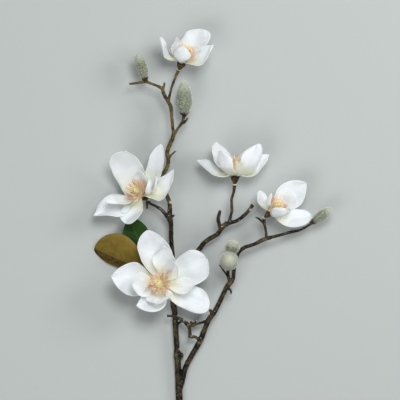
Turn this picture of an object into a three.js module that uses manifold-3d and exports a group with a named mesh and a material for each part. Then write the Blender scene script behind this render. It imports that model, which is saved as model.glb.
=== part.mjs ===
// A cut branch of magnolia in bloom, lying on a table: the grown wood, five open blooms, five furry
// flower buds and two leaves. Millimetres, +Z up. The branch lies along +Y, its pruned end at -Y, and
// the surface it lies on is z = 0. The origin is the middle of the whole outline, on that surface.
import * as THREE from "three";
import { mergeVertices } from "three/addons/utils/BufferGeometryUtils.js";
import Module from "manifold-3d";

const wasm = await Module();
wasm.setup();

// ---------------------------------------------------------------- driving dimensions
const SEAT_GAP = 0.3; // between a bloom, bud or leaf and the wood that carries it
const BLADE_THICKNESS = 0.8; // tepals
const LEAF_THICKNESS = 0.9;
const TEPAL_ROWS = 5; // along a tepal
const TEPAL_COLUMNS = 4; // across it
const CALYX = { top: 5.8, foot: 2.2, height: 9.5, sides: 8 }; // brown cup under each bloom
const SCAR = { radius: 2.8, height: 2.4 }; // pale ring under the cup
const RECEPTACLE = { radius: 4.8, height: 5.5, sides: 7 }; // where the tepals of a bloom join
const STAMEN_CORE = { foot: 4.2, top: 5.2, height: 5.5, sides: 7 };
const STAMEN = { count: 24, length: 16.2, root: 1.3, sides: 3 };
const PISTIL_CONE = { radius: 4.0, height: 11, sides: 7 };
const STIGMA = { count: 12, length: 4.2, root: 1.1, sides: 3 };
const PETIOLE_RADIUS = 1.3;
const LEAF_ROWS = 9;
const LEAF_COLUMNS = 4;
const BUD_SEAT = { radius: 4, depth: 12 }; // the room that a bud's foot takes off its stalk
const BUD_SIDES = 9;
const BUD_RINGS = 6;
const LIMB_SIDES = 7;
const TWIG_SIDES = 5;
const SPUR_SIDES = 4;

// Wood limbs. Each point is x, y, z of the middle of the limb and its radius there.
const MAIN_STEM = [
  [-24, -309, 4.0, 4.7], [-25, -281, 4.1, 4.6], [-26, -250, 4.9, 4.5], [-27, -225, 6, 4.2],
  [-28, -203, 7.5, 4.0], [-28.5, -195, 8, 4.6], [-29, -186, 8.5, 3.7], [-30, -171, 9.5, 3.5],
  [-31, -154, 10.5, 3.7], [-31.5, -142, 11.5, 3.6], [-33.5, -129, 12.5, 3.8], [-33, -106, 13.5, 3.3],
  [-34, -75, 15, 2.9], [-36, -50, 16.5, 2.7], [-36.5, -30, 18, 3.1], [-38, -20, 19, 3.4],
  [-38, -6, 20, 2.8], [-42, 7, 21, 2.6], [-49, 20, 22, 2.5], [-49, 29, 22.5, 2.7],
  [-42.5, 38, 23, 2.3], [-39.5, 49, 23.5, 2.4], [-41, 61, 24, 2.5], [-33.5, 80, 25, 2.5],
  [-34, 90, 25.5, 2.1], [-35.5, 106, 26.5, 2.1], [-36.5, 116, 27, 2.4], [-41, 125, 28, 2.3],
];
const TOP_TWIG = [
  [-40, 123, 28, 2.2], [-45, 132, 28.5, 2.3], [-47.5, 139, 28.5, 2.2], [-54, 143, 28, 1.6],
  [-62, 146, 27.5, 1.6], [-68, 148, 27, 1.8], [-76, 147, 26.5, 1.4], [-89, 145, 26, 1.1],
];
const BUD_2_STALK = [[-33, 80, 25, 2.0], [-30, 86, 26.5, 1.8], [-22.5, 97, 28, 1.7], [-20, 105.5, 29, 2.2]];
const RIGHT_BRANCH = [
  [-25, -238, 6, 3.0], [-22, -226, 7, 3.3], [-18, -210, 8.5, 3.3], [-8.8, -192.5, 10, 3.3],
  [-0.2, -177.5, 12, 3.6], [5.8, -162.5, 14, 3.2], [10.7, -150.5, 15.5, 3.4], [17.5, -141.5, 16.5, 3.1],
  [26, -125, 18.5, 2.8], [32.5, -111, 20, 3.0], [37.5, -104, 21, 3.2], [41.5, -98, 22, 2.6],
  [42.5, -86, 22.5, 2.5], [47, -68, 23.5, 2.5], [55, -60, 24, 2.4], [69, -55, 25, 2.3],
  [81, -49, 25.5, 2.6], [100, -44, 25, 1.9], [114, -40, 24, 2.0], [124, -38, 23.5, 1.6],
  [133, -33.5, 23, 1.5], [139.3, -29.7, 23, 1.7],
];
const BUD_3_STALK = [[37, -103, 21, 2.2], [35.5, -95, 23.5, 1.9], [35, -87, 27.5, 1.9], [35.8, -80, 33, 2.0]];
const BUD_4_STALK = [[42.5, -90, 22.5, 1.7], [41.5, -79, 24, 1.5], [39.5, -70, 28, 1.8]];
const CROSS_TWIG = [
  [0, -176, 12.5, 2.1], [-6, -172, 14.5, 2.0], [-12, -171, 16, 2.3], [-13, -162, 17, 2.0],
  [-16, -156, 18, 2.7], [-21.5, -151, 18.5, 2.2], [-31, -146.5, 18.5, 1.9], [-37, -145.5, 18, 1.4],
  [-41, -145.5, 17.5, 2.0],
];
const CROSS_LINK = [[8, -152, 15.5, 1.9], [-2, -155, 16, 1.5], [-11, -158, 17, 1.8], [-15, -157, 17.5, 1.9]];
const STEM_LINK = [[-30, -160, 10.5, 1.9], [-27, -155, 14, 1.6], [-22, -151, 17.5, 1.7]];
const MIDDLE_BRANCH = [
  [-33.5, -114, 13, 3.0], [-27, -98, 14.5, 2.9], [-17, -80, 16, 2.9], [-2, -63, 18, 3.0],
  [5, -54, 19, 2.9], [12, -48.5, 20, 2.9], [22, -42.5, 21, 2.7], [28.5, -33.5, 22, 3.2],
  [36, -29, 22.5, 2.8], [46, -26, 23, 2.3], [55, -19.5, 24, 2.3], [62, -12, 25, 2.3], [66, -6, 25.5, 2.5],
];
const SPURS = [
  [[-28, -196, 8, 3.2], [-24.5, -195, 9.5, 3.0], [-21.3, -194.5, 10, 2.9]],
  [[-26, -192, 9, 2.0], [-23.5, -188.5, 11, 1.4]],
  [[-37, -23, 19, 2.0], [-33.5, -20, 20, 1.4], [-31.3, -18.5, 20.5, 1.5]],
  [[-38, -9, 20, 1.9], [-36.6, -5.5, 22, 1.2], [-36, -3.5, 23, 1.1]],
  [[-39.5, 52, 23.5, 1.7], [-35.5, 57, 24.5, 1.1], [-32, 60, 25, 1.2], [-29.5, 62, 25, 0.9]],
  [[-47, 138, 28.5, 2.2], [-45, 143, 29.5, 1.5], [-44.3, 147.5, 30, 1.1]],
  [[-23, 96, 28, 1.7], [-19, 97, 29.5, 1.2], [-15, 103.5, 30.5, 1.1]],
  [[-66.5, -2, 22, 1.6], [-66.3, -8, 21.5, 1.5], [-66, -12, 21, 1.2]],
  [[115, -40, 24, 1.5], [116.5, -36.5, 25, 1.0]],
  [[15, -143, 16, 2.2], [12.5, -137.5, 18, 1.9]],
  [[34, -109, 20.5, 2.0], [38.5, -113.5, 21.5, 1.5], [38.5, -118, 21, 1.2]],
  [[35, -96, 22.5, 1.5], [28, -86, 22, 1.1], [24, -81, 21.5, 1.2]],
  [[-14, -158, 17.5, 1.8], [-8.5, -152, 19, 1.4]],
  [[-17, -156, 18, 1.8], [-15.5, -151, 20, 1.3]],
  [[-12.5, -171, 16, 1.6], [-15.5, -173, 16.5, 1.2]],
  [
    [26, -37, 21.5, 2.2], [24, -30, 23, 2.4], [22.8, -23.5, 24, 2.3], [24.5, -16, 24.5, 2.2],
    [26, -12.5, 24.5, 1.3],
  ],
  [[32, -31, 22.5, 2.0], [33, -25.5, 24, 1.5]],
  [[60, -15, 25, 1.6], [63.5, -13, 26.5, 1.1]],
  [[81.5, -30, 24.5, 1.5], [77, -26.5, 24, 1.3], [73, -23, 23.5, 1.1], [69, -21.5, 23, 1.0]],
];

// Blooms. The heart is where the tepals join the cup, the axis points out of the bloom's mouth, and
// the peduncle's points lead from the wood to the cup. Each tepal has the place of its tip measured
// from the heart, its width, how far it is cupped across (radians each way) and how far it bows
// outwards along (part of its length). Where it needs them it also has the way it leaves the axis
// (out), its turn about its own length in degrees, its sideways sway, the outward flick of its tip,
// a drawn-out end (point below 1) or a broad one (square), an end cut aslant (slant), the breadth of
// its claw as part of its width, and how far along it is fullest.
const BLOOMS = [
  {
    name: "bloom_1", heart: [-23, 171, 30], axis: [0.36, 0.78, 0.51],
    peduncle: [[-40, 122, 28, 2.0], [-37.5, 133, 28, 1.6], [-34.5, 144, 27.5, 1.6], [-31, 153, 26.5, 1.6]],
    tepals: [
      { tip: [-26.5, 32, 14], out: [-1, 0, -0.1], width: 20, cup: 0.8, bow: 0.26, turn: -8, flick: 0.03 },
      {
        tip: [26, 43, -6], out: [0.5, 0.4, -0.8], width: 32, cup: 0.5, bow: 0.1, sway: 0.03, square: 0.5,
        slant: -0.35, fullest: 0.58,
      },
      { tip: [-4, 20, -30.3], out: [-0.2, 0.2, -0.9], width: 30, cup: 0.6, bow: 0.14 },
      { tip: [18, 15, -25], out: [0.5, 0.1, -0.9], width: 30, cup: 0.6, bow: 0.14 },
      { tip: [-5, 32, 6], out: [-0.9, 0.1, -0.4], width: 36, cup: 0.7, bow: 0.31, point: 0.65 },
      {
        tip: [40, 23, 10], out: [0.8, -0.4, -0.2], width: 30, cup: 0.6, bow: 0.14, flick: 0.02, turn: 28,
        point: 0.45, claw: 0.5, fullest: 0.42,
      },
      { tip: [2, 20, 24], out: [-0.3, -0.3, 0.9], width: 28, cup: 1.1, bow: 0.28, claw: 0.5 },
      { tip: [22, 20, 11], out: [0.9, 0.3, -0.4], width: 18, cup: 0.7, bow: 0.14 },
    ],
  },
  {
    name: "bloom_2", heart: [-71, 5, 30], axis: [-0.5, 0.4, 0.77],
    peduncle: [
      [-37, -28, 18.5, 2.4], [-42, -20, 19.5, 2.1], [-47.5, -13, 20, 2.3], [-55, -8, 20, 1.7],
      [-62, -4.5, 20, 1.7], [-65, -1.5, 20, 2.0],
    ],
    tepals: [
      {
        tip: [-62, -25, -4], width: 36, cup: 0.6, bow: 0.12, flick: 0.07, sway: -0.05, point: 0.48,
        fullest: 0.55,
      },
      {
        tip: [22, 65, 4], width: 28, cup: 0.75, bow: 0.08, sway: -0.06, square: 0.6, point: 0.9, claw: 0.4,
        fullest: 0.42,
      },
      { tip: [-22, -34.5, 4], width: 31, cup: 0.6, bow: 0.12, flick: 0.05, square: 0.8 },
      {
        tip: [-26.5, 55.5, 20], width: 43, cup: 0.55, bow: 0.14, sway: 0.085, square: 0.9, claw: 0.65,
        fullest: 0.42, slant: 0.15,
      },
      {
        tip: [38, 33, 18], width: 35, cup: 0.8, bow: 0.18, flick: 0.05, sway: -0.17, point: 0.55, claw: 0.55,
        fullest: 0.42,
      },
      { tip: [-46, -8, 18], width: 23, cup: 0.9, bow: 0.14, turn: 20, point: 0.6 },
      { tip: [-4, 32, 26], out: [0.2, 0.9, 0], width: 22, cup: 0.8, bow: 0.12, point: 0.7 },
      { tip: [17, 24, 25], out: [0.9, 0.3, 0.1], width: 22, cup: 0.9, bow: 0.16, point: 0.7 },
      { tip: [8, 20, 29], out: [0.9, -0.4, 0.1], width: 20, cup: 1.0, bow: 0.2, point: 0.6 },
    ],
  },
  {
    name: "bloom_3", heart: [-48, -105, 32], axis: [-0.16, 0.08, 0.98],
    peduncle: [[-33, -113, 13.5, 2.6], [-38, -111, 16, 2.5], [-43.5, -109, 17, 2.4]],
    tepals: [
      {
        tip: [-18.5, 67, 16], width: 43, cup: 0.55, bow: 0.1, sway: -0.04, fullest: 0.48, point: 0.8,
        square: 0.4, slant: 0.2,
      },
      { tip: [57, 31, 12], width: 44, cup: 0.5, bow: 0.1, square: 0.7 },
      {
        tip: [60, -24.5, 6], width: 32, cup: 0.45, bow: 0.1, flick: 0.03, sway: -0.03, square: 0.9,
        slant: -0.35, claw: 0.5, fullest: 0.5,
      },
      { tip: [-63, 10, 12], width: 45, cup: 0.6, bow: 0.12, flick: 0.05, point: 0.62, fullest: 0.55 },
      {
        tip: [-32, -27, 14], width: 39, cup: 0.8, bow: 0.1, turn: -15, flick: 0.04, sway: 0.15, point: 0.5,
        claw: 0.6, fullest: 0.42,
      },
      { tip: [3, 47.5, 29], out: [0.2, 1, 0], width: 35, cup: 0.8, bow: 0.12, sway: -0.05, point: 0.8 },
      { tip: [42, 1, 23], width: 24, cup: 0.9, bow: 0.14, sway: -0.06, slant: 0.2 },
      { tip: [18, 27, 32], width: 26, cup: 0.8, bow: 0.16, point: 0.8 },
      { tip: [-36, -1, 27], width: 34, cup: 0.8, bow: 0.16, square: 0.3 },
      { tip: [-5, -24, 25], out: [0.1, -1, 0.2], width: 40, cup: 0.9, bow: 0.2 },
    ],
  },
  {
    name: "bloom_4", heart: [44, 29, 30], axis: [0.06, 0.94, 0.33],
    peduncle: [
      [36, -29, 22.5, 2.2], [38.5, -20, 23.5, 1.7], [40, -12, 24.5, 1.9], [39.5, 1, 25.5, 1.7],
      [42, 9, 26, 1.8],
    ],
    tepals: [
      {
        tip: [-48, 20.5, -6], out: [-1, -0.1, -0.2], width: 22, cup: 0.6, bow: 0.12, flick: 0.06, turn: -22,
        point: 0.55, claw: 0.5,
      },
      {
        tip: [43, 28, -4], out: [1, -0.1, -0.3], width: 25, cup: 0.7, bow: 0.16, flick: 0.07, turn: 22,
        point: 0.5, claw: 0.5,
      },
      { tip: [0, 15, -30.6], out: [0, 0.2, -1], width: 38, cup: 0.6, bow: 0.14, claw: 0.5 },
      {
        tip: [-23, 43, -5], out: [-0.8, 0.1, -0.6], width: 38, cup: 0.8, bow: 0.2, sway: 0.05, point: 0.8,
        square: 0.4, slant: 0.2,
      },
      { tip: [20, 33, -6], out: [0.8, 0.1, -0.5], width: 30, cup: 0.8, bow: 0.16 },
      { tip: [-19, 32, 17], out: [-0.8, -0.3, 0.6], width: 34, cup: 0.85, bow: 0.2, square: 0.2, claw: 0.6 },
      {
        tip: [29, 41.5, 8], out: [0.6, -0.3, 0.7], width: 46, cup: 0.8, bow: 0.22, sway: 0.06, claw: 0.65,
        point: 0.85, square: 0.4, slant: 0.2,
      },
      { tip: [0, 16, -18], out: [0, 0.2, -1], width: 26, cup: 0.8, bow: 0.16 },
    ],
  },
  {
    name: "bloom_5", heart: [86.5, -16.5, 30], axis: [0.57, 0.52, 0.63],
    peduncle: [[83, -48, 25.5, 2.0], [82.5, -38, 24.5, 1.7], [80.5, -30, 22, 1.8]],
    tepals: [
      { tip: [-11.5, 28.5, 0], out: [-0.8, 0.2, -0.2], width: 27, cup: 0.9, bow: 0.22, turn: -30, claw: 0.5 },
      {
        tip: [46.5, 38, -2], out: [0.6, 0.5, -0.6], width: 36, cup: 0.5, bow: 0.1, sway: 0.01, point: 0.7,
        fullest: 0.54,
      },
      { tip: [13.5, 9.5, -30.4], out: [0.2, 0.2, -1], width: 32, cup: 0.6, bow: 0.1 },
      {
        tip: [52.5, -2, 5], out: [0.5, -0.5, -0.7], width: 27, cup: 0.6, bow: 0.1, flick: 0.02, sway: -0.13,
        square: 0.3,
      },
      { tip: [3, 25.5, 12], out: [-0.8, 0.3, 0.2], width: 24, cup: 0.9, bow: 0.18, turn: -10, square: 0.3 },
      { tip: [22, 5, 26], out: [-0.1, -0.9, 0.4], width: 27, cup: 1.05, bow: 0.22 },
      { tip: [33, 23, 2], out: [0.7, 0.5, -0.6], width: 26, cup: 0.7, bow: 0.14 },
      { tip: [33, 1, 10], out: [0.7, -0.6, -0.3], width: 22, cup: 0.9, bow: 0.16 },
    ],
  },
];

// Flower buds: foot, tip and greatest radius, how far along that comes, and how full the end is
// (the lower, the blunter).
const BUDS = [
  { name: "bud_1", foot: [-68, 150, 27.5], tip: [-78.5, 183.5, 31], radius: 7.4, fullest: 0.5, fullness: 0.42 },
  { name: "bud_2", foot: [-19.7, 106, 29], tip: [-20.3, 150, 33], radius: 10.9, fullest: 0.38, fullness: 0.62 },
  { name: "bud_3", foot: [36, -79, 34], tip: [36.5, -72.5, 62], radius: 11.9, fullest: 0.45, fullness: 0.55 },
  { name: "bud_4", foot: [39.3, -69, 28.5], tip: [41.5, -50.5, 35], radius: 9, fullest: 0.5, fullness: 0.5 },
  {
    name: "bud_5", foot: [139.8, -28.6, 23.2], tip: [165.5, -10.5, 27], radius: 6.5, fullest: 0.5,
    fullness: 0.42,
  },
];

// Leaves: a petiole from the wood, then a blade as broad as its width along a bowed midrib. The blade
// lies with its upper side up (1) or turned over, underside up (-1), and may be broader on its left
// (lean above 0).
const LEAVES = [
  {
    name: "bronze_leaf", petiole: [[-43, -108, 15], [-55, -98, 17], [-67, -88, 17]],
    tip: [-133, -60.5, 1.4],
    width: 47, lean: 0.4, cup: 0.4, bow: 0.03, turn: 23, up: -1, bluntness: 0.48,
  },
  {
    name: "green_leaf", petiole: [[-37, -106, 12.5], [-44, -102, 12], [-54, -94, 11.5], [-66, -80, 10]],
    tip: [-88, -23, 7],
    width: 38, lean: 0, cup: 0.3, bow: 0.05, turn: 11, up: 1, bluntness: 0.62,
  },
];

const BARK = new THREE.MeshStandardMaterial({ color: 0x5b4630, roughness: 0.85, metalness: 0 });
const WHITE = new THREE.MeshStandardMaterial({ color: 0xf0f3f5, roughness: 0.55, metalness: 0 });
const CORAL = new THREE.MeshStandardMaterial({ color: 0xdca68c, roughness: 0.7, metalness: 0 });
const CREAM = new THREE.MeshStandardMaterial({ color: 0xdcd296, roughness: 0.7, metalness: 0 });
const FUR = new THREE.MeshStandardMaterial({ color: 0xb2b898, roughness: 0.95, metalness: 0 });
const BRONZE = new THREE.MeshStandardMaterial({ color: 0x73602a, roughness: 0.6, metalness: 0 });
const GREEN = new THREE.MeshStandardMaterial({ color: 0x244d1b, roughness: 0.4, metalness: 0 });

// ---------------------------------------------------------------- solids
const vector = (list) => new THREE.Vector3(list[0], list[1], list[2]);
const radians = THREE.MathUtils.degToRad;
const GOLDEN_ANGLE = Math.PI * (3 - Math.sqrt(5));

function solidOf(geometry) {
  const bare = geometry.clone();
  bare.deleteAttribute("normal");
  bare.deleteAttribute("uv");
  const merged = mergeVertices(bare, 1e-4);
  const mesh = new wasm.Mesh({
    numProp: 3,
    vertProperties: new Float32Array(merged.attributes.position.array),
    triVerts: new Uint32Array(merged.index.array),
  });
  return new wasm.Manifold(mesh);
}

function joined(solids) {
  return wasm.Manifold.union(solids);
}

function geometryOf(solid) {
  const mesh = solid.getMesh();
  const geometry = new THREE.BufferGeometry();
  geometry.setAttribute("position", new THREE.BufferAttribute(mesh.vertProperties.slice(), 3));
  geometry.setIndex(new THREE.BufferAttribute(mesh.triVerts.slice(), 1));
  geometry.computeVertexNormals();
  return geometry;
}

// The largest body of a solid: trimming can leave loose crumbs, which are dropped.
function mainBody(solid) {
  return solid.decompose().sort((first, second) => second.volume() - first.volume())[0];
}

// Carries a shape built along +Y to a place, its +Y on the given axis.
function along(geometry, axis, place) {
  const turn = new THREE.Quaternion().setFromUnitVectors(new THREE.Vector3(0, 1, 0), axis);
  return geometry.applyQuaternion(turn).translate(place.x, place.y, place.z);
}

// A turned shape from [radius, height] pairs, which start and end on the axis.
function turned(pairs, sides, axis, place) {
  const profile = pairs.map(([radius, height]) => new THREE.Vector2(radius, height));
  return solidOf(along(new THREE.LatheGeometry(profile, sides), axis, place));
}

// A limb of wood: a closed cylinder bent along its points, with the radius that each point gives.
function limb(points, sides, extra = 0) {
  const curve = new THREE.CatmullRomCurve3(points.map(vector), false, "centripetal");
  const spans = points.length - 1;
  const geometry = new THREE.CylinderGeometry(1, 1, 1, sides, spans);
  const upright = Math.abs(curve.getTangent(0.5).z) > 0.7;
  const reference = upright ? new THREE.Vector3(1, 0, 0) : new THREE.Vector3(0, 0, 1);
  const position = geometry.attributes.position;
  for (let i = 0; i < position.count; i += 1) {
    const u = position.getY(i) + 0.5;
    const radius = points[Math.round(u * spans)][3] + extra;
    const tangent = curve.getTangent(u);
    const side = tangent.clone().cross(reference).normalize();
    const up = side.clone().cross(tangent).normalize();
    const corner = curve.getPoint(u);
    corner.addScaledVector(side, position.getX(i) * radius);
    corner.addScaledVector(up, position.getZ(i) * radius);
    position.setXYZ(i, corner.x, corner.y, corner.z);
  }
  return solidOf(geometry);
}

// The brown cup under a bloom with the pale ring below it, on the bloom's axis.
function calyx(bloom, extra = 0) {
  const { top, foot, height, sides } = CALYX;
  const lid = -SEAT_GAP / 2 + extra;
  return turned([
    [0, -height - SCAR.height - extra],
    [SCAR.radius + extra, -height - SCAR.height - extra],
    [SCAR.radius + extra, -height],
    [foot + extra, -height + 0.6],
    [top * 0.8 + extra, -height * 0.5],
    [top + extra, -1.4],
    [top * 0.9 + extra, lid],
    [0, lid],
  ], sides, bloom.axis, bloom.heart);
}

// The peduncle leads from the wood to the middle of the pale ring.
function peduncle(bloom, extra = 0) {
  const end = bloom.heart.clone().addScaledVector(bloom.axis, -CALYX.height - SCAR.height * 0.5);
  return limb([...bloom.peduncle, [end.x, end.y, end.z, CALYX.foot]], TWIG_SIDES, extra);
}

// ---------------------------------------------------------------- blades
// A tepal's breadth along it, 1 where it is fullest: a narrow claw, then a rounded end.
function tepalOutline(t, { point = 1, square = 0, claw = 0.22, fullest = 0.62 }) {
  if (t < fullest) {
    return claw + (1 - claw) * Math.sin((t / fullest) * Math.PI * 0.5) ** 1.25;
  }
  const rest = (t - fullest) / (1 - fullest);
  return Math.max(1 - rest ** (2 + 1.6 * square), 0) ** (0.55 / point);
}

// A closed blade from a function of (t, s): a front and a back sheet, split into triangles alike,
// half a thickness to each side of the middle sheet, and joined round the rim.
function closedBlade(middleSheet, rows, columns, thickness) {
  const sheetCorners = (rows + 1) * (columns + 1);
  const vertices = [];
  const sheet = [];
  for (let i = 0; i <= rows; i += 1) {
    for (let j = 0; j <= columns; j += 1) {
      sheet.push(middleSheet(i / rows, (2 * j) / columns - 1));
    }
  }
  const at = (i, j) => i * (columns + 1) + j;
  for (const face of [0.5, -0.5]) {
    for (let i = 0; i <= rows; i += 1) {
      for (let j = 0; j <= columns; j += 1) {
        const up = sheet[at(Math.min(i + 1, rows), j)].clone().sub(sheet[at(Math.max(i - 1, 0), j)]);
        const across = sheet[at(i, Math.min(j + 1, columns))].clone().sub(sheet[at(i, Math.max(j - 1, 0))]);
        const normal = across.cross(up).normalize();
        const corner = sheet[at(i, j)].clone().addScaledVector(normal, face * thickness);
        vertices.push(corner.x, corner.y, corner.z);
      }
    }
  }
  const triangles = [];
  for (let i = 0; i < rows; i += 1) {
    for (let j = 0; j < columns; j += 1) {
      const [a, b, c, d] = [at(i, j), at(i, j + 1), at(i + 1, j + 1), at(i + 1, j)];
      const front = (i + j) % 2 ? [a, b, c, a, c, d] : [a, b, d, b, c, d];
      triangles.push(...front);
      for (let k = 0; k < 6; k += 3) {
        triangles.push(front[k] + sheetCorners, front[k + 2] + sheetCorners, front[k + 1] + sheetCorners);
      }
    }
  }
  const rim = [];
  for (let j = 0; j < columns; j += 1) rim.push([at(0, j), at(0, j + 1)]);
  for (let i = 0; i < rows; i += 1) rim.push([at(i, columns), at(i + 1, columns)]);
  for (let j = columns; j > 0; j -= 1) rim.push([at(rows, j), at(rows, j - 1)]);
  for (let i = rows; i > 0; i -= 1) rim.push([at(i, 0), at(i - 1, 0)]);
  for (const [p, q] of rim) {
    triangles.push(p, p + sheetCorners, q);
    triangles.push(q, p + sheetCorners, q + sheetCorners);
  }
  const geometry = new THREE.BufferGeometry();
  geometry.setAttribute("position", new THREE.BufferAttribute(new Float32Array(vertices), 3));
  geometry.setIndex(triangles);
  return geometry;
}

// A tepal's middle sheet: u runs from its claw to its tip, s from edge to edge. Its spine bows
// outwards between the claw and the tip, and it is an arc across.
function tepalSheet(bloom, tepal) {
  const tip = vector(tepal.tip);
  const out = tepal.out ? vector(tepal.out) : tip.clone();
  out.addScaledVector(bloom.axis, -out.dot(bloom.axis)).normalize();
  const foot = bloom.axis.clone().multiplyScalar(2.2).addScaledVector(out, 3);
  const chord = tip.clone().sub(foot);
  const length = chord.length();
  const forward = chord.clone().normalize();
  const outward = out.clone().addScaledVector(bloom.axis, -0.4);
  outward.addScaledVector(forward, -outward.dot(forward)).normalize();
  const sideways = forward.clone().cross(outward).normalize();
  const turn = radians(tepal.turn ?? 0);
  const spine = (t) => {
    const hump = 4 * t * (1 - t);
    const bulge = tepal.bow * hump * (1.25 - 0.5 * t) + (tepal.flick ?? 0) * Math.sin(2 * Math.PI * t);
    const point = bloom.heart.clone().add(foot).addScaledVector(chord, t);
    point.addScaledVector(outward, bulge * length);
    return point.addScaledVector(sideways, (tepal.sway ?? 0) * hump * length);
  };
  return (u, s) => {
    const t = 0.985 * (1 - (1 - u) ** 1.3);
    const tangent = spine(t + 0.01).sub(spine(t - 0.01)).normalize();
    const across = sideways.clone().addScaledVector(tangent, -sideways.dot(tangent)).normalize();
    const inward = across.clone().cross(tangent).normalize();
    if (inward.dot(outward) > 0) inward.negate();
    const half = 0.5 * tepal.width * tepalOutline(t, tepal);
    const cup = tepal.cup * (1.25 - 0.5 * t);
    const reach = (half / cup) * Math.sin(cup * s);
    const lift = (half / cup) * (1 - Math.cos(cup * s));
    const turnHere = turn * Math.min(1, t * 2);
    const sideReach = reach * Math.cos(turnHere) - lift * Math.sin(turnHere);
    const inReach = reach * Math.sin(turnHere) + lift * Math.cos(turnHere);
    const point = spine(t).addScaledVector(tangent, (tepal.slant ?? 0) * reach * t * t);
    return point.addScaledVector(across, sideReach).addScaledVector(inward, inReach);
  };
}

function tepals(bloom) {
  const blades = bloom.tepals.map((tepal) =>
    solidOf(closedBlade(tepalSheet(bloom, tepal), TEPAL_ROWS, TEPAL_COLUMNS, BLADE_THICKNESS)));
  const { radius, height, sides } = RECEPTACLE;
  const receptacle = turned([
    [0, SEAT_GAP / 2],
    [radius * 0.85, SEAT_GAP / 2],
    [radius, height * 0.4],
    [radius * 0.9, height],
    [0, height],
  ], sides, bloom.axis, bloom.heart);
  return joined([...blades, receptacle]).subtract(calyx(bloom, SEAT_GAP));
}

// ---------------------------------------------------------------- stamens and pistils
// The way out from the bloom's axis at an angle round it.
function wayOut(axis, round) {
  const first = new THREE.Vector3(1, 0, 0).cross(axis).normalize();
  const second = axis.clone().cross(first);
  return first.multiplyScalar(Math.cos(round)).addScaledVector(second, Math.sin(round));
}

function needle(root, direction, length, radius, sides) {
  const shaft = new THREE.ConeGeometry(radius, length, sides, 1).translate(0, length / 2, 0);
  return solidOf(along(shaft, direction.clone().normalize(), root));
}

// Needles stand out of a core all round, the lower ones leaning furthest. One that would touch the
// piece it stands beside is bent towards the axis, or left out.
function needles(bloom, shape, beside) {
  const pieces = [];
  for (let i = 0; i < shape.count; i += 1) {
    const share = (i + 0.5) / shape.count;
    const away = wayOut(bloom.axis, i * GOLDEN_ANGLE);
    const rise = THREE.MathUtils.lerp(shape.lowest, shape.highest, share);
    const inset = THREE.MathUtils.lerp(shape.lowInset, shape.highInset, share);
    const root = bloom.heart.clone().addScaledVector(bloom.axis, rise).addScaledVector(away, inset);
    for (const easing of [1, 0.85, 0.7, 0.55, 0.4]) {
      const lean = radians(THREE.MathUtils.lerp(shape.lowLean, shape.highLean, share)) * easing;
      const direction = bloom.axis.clone().multiplyScalar(Math.cos(lean)).addScaledVector(away, Math.sin(lean));
      const withRoom = needle(root, direction, shape.length + 1, shape.root + 0.5, shape.sides);
      if (withRoom.intersect(beside).isEmpty()) {
        pieces.push(needle(root, direction, shape.length, shape.root, shape.sides));
        break;
      }
    }
  }
  return pieces;
}

function pistilCone(bloom, extra = 0) {
  const start = RECEPTACLE.height + STAMEN_CORE.height + 2 * SEAT_GAP;
  const { radius, height, sides } = PISTIL_CONE;
  return turned([
    [0, start - extra],
    [radius * 0.8 + extra, start - extra],
    [radius + extra, start + height * 0.35],
    [radius * 0.6 + extra, start + height * 0.85],
    [0, start + height + extra],
  ], sides, bloom.axis, bloom.heart);
}

function stamens(bloom, petals) {
  const { foot, top, height, sides } = STAMEN_CORE;
  const start = RECEPTACLE.height + SEAT_GAP;
  const core = turned([
    [0, start],
    [foot, start],
    [top, start + height * 0.6],
    [top * 0.8, start + height],
    [0, start + height],
  ], sides, bloom.axis, bloom.heart);
  const shape = {
    ...STAMEN, lowest: start + 1.6, highest: start + height - 1.6, lowInset: 2.6, highInset: 3.7,
    lowLean: 66, highLean: 34,
  };
  return joined([core, ...needles(bloom, shape, petals)]).subtract(pistilCone(bloom, SEAT_GAP));
}

function pistils(bloom, ring) {
  const start = RECEPTACLE.height + STAMEN_CORE.height + 2 * SEAT_GAP;
  const { radius, height } = PISTIL_CONE;
  const shape = {
    ...STIGMA, lowest: start + height * 0.25, highest: start + height * 0.8, lowInset: radius * 0.6,
    highInset: radius * 0.25, lowLean: 52, highLean: 14,
  };
  return joined([pistilCone(bloom), ...needles(bloom, shape, ring)]);
}

// ---------------------------------------------------------------- buds and leaves
function bud({ foot, tip, radius, fullest, fullness }) {
  const start = vector(foot);
  const axis = vector(tip).sub(start);
  const length = axis.length();
  const profile = [[0, 0], [radius * 0.34, 0]];
  for (let i = 1; i < BUD_RINGS; i += 1) {
    const t = i / BUD_RINGS;
    const eased = t < fullest ? (0.5 * t) / fullest : 0.5 + (0.5 * (t - fullest)) / (1 - fullest);
    profile.push([radius * Math.sin(Math.PI * eased) ** (t < fullest ? 0.62 : fullness), length * t]);
  }
  profile.push([radius * 0.2, length * 0.985], [0, length]);
  return turned(profile, BUD_SIDES, axis.normalize(), start);
}

// Half the width along a leaf: narrow at the petiole, broad past the middle, a short blunt end.
function leafOutline(t, bluntness) {
  return Math.sin(Math.PI * t ** 1.15) ** (t < 0.5 ? 0.62 : bluntness) * (0.82 + 0.18 * t);
}

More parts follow.
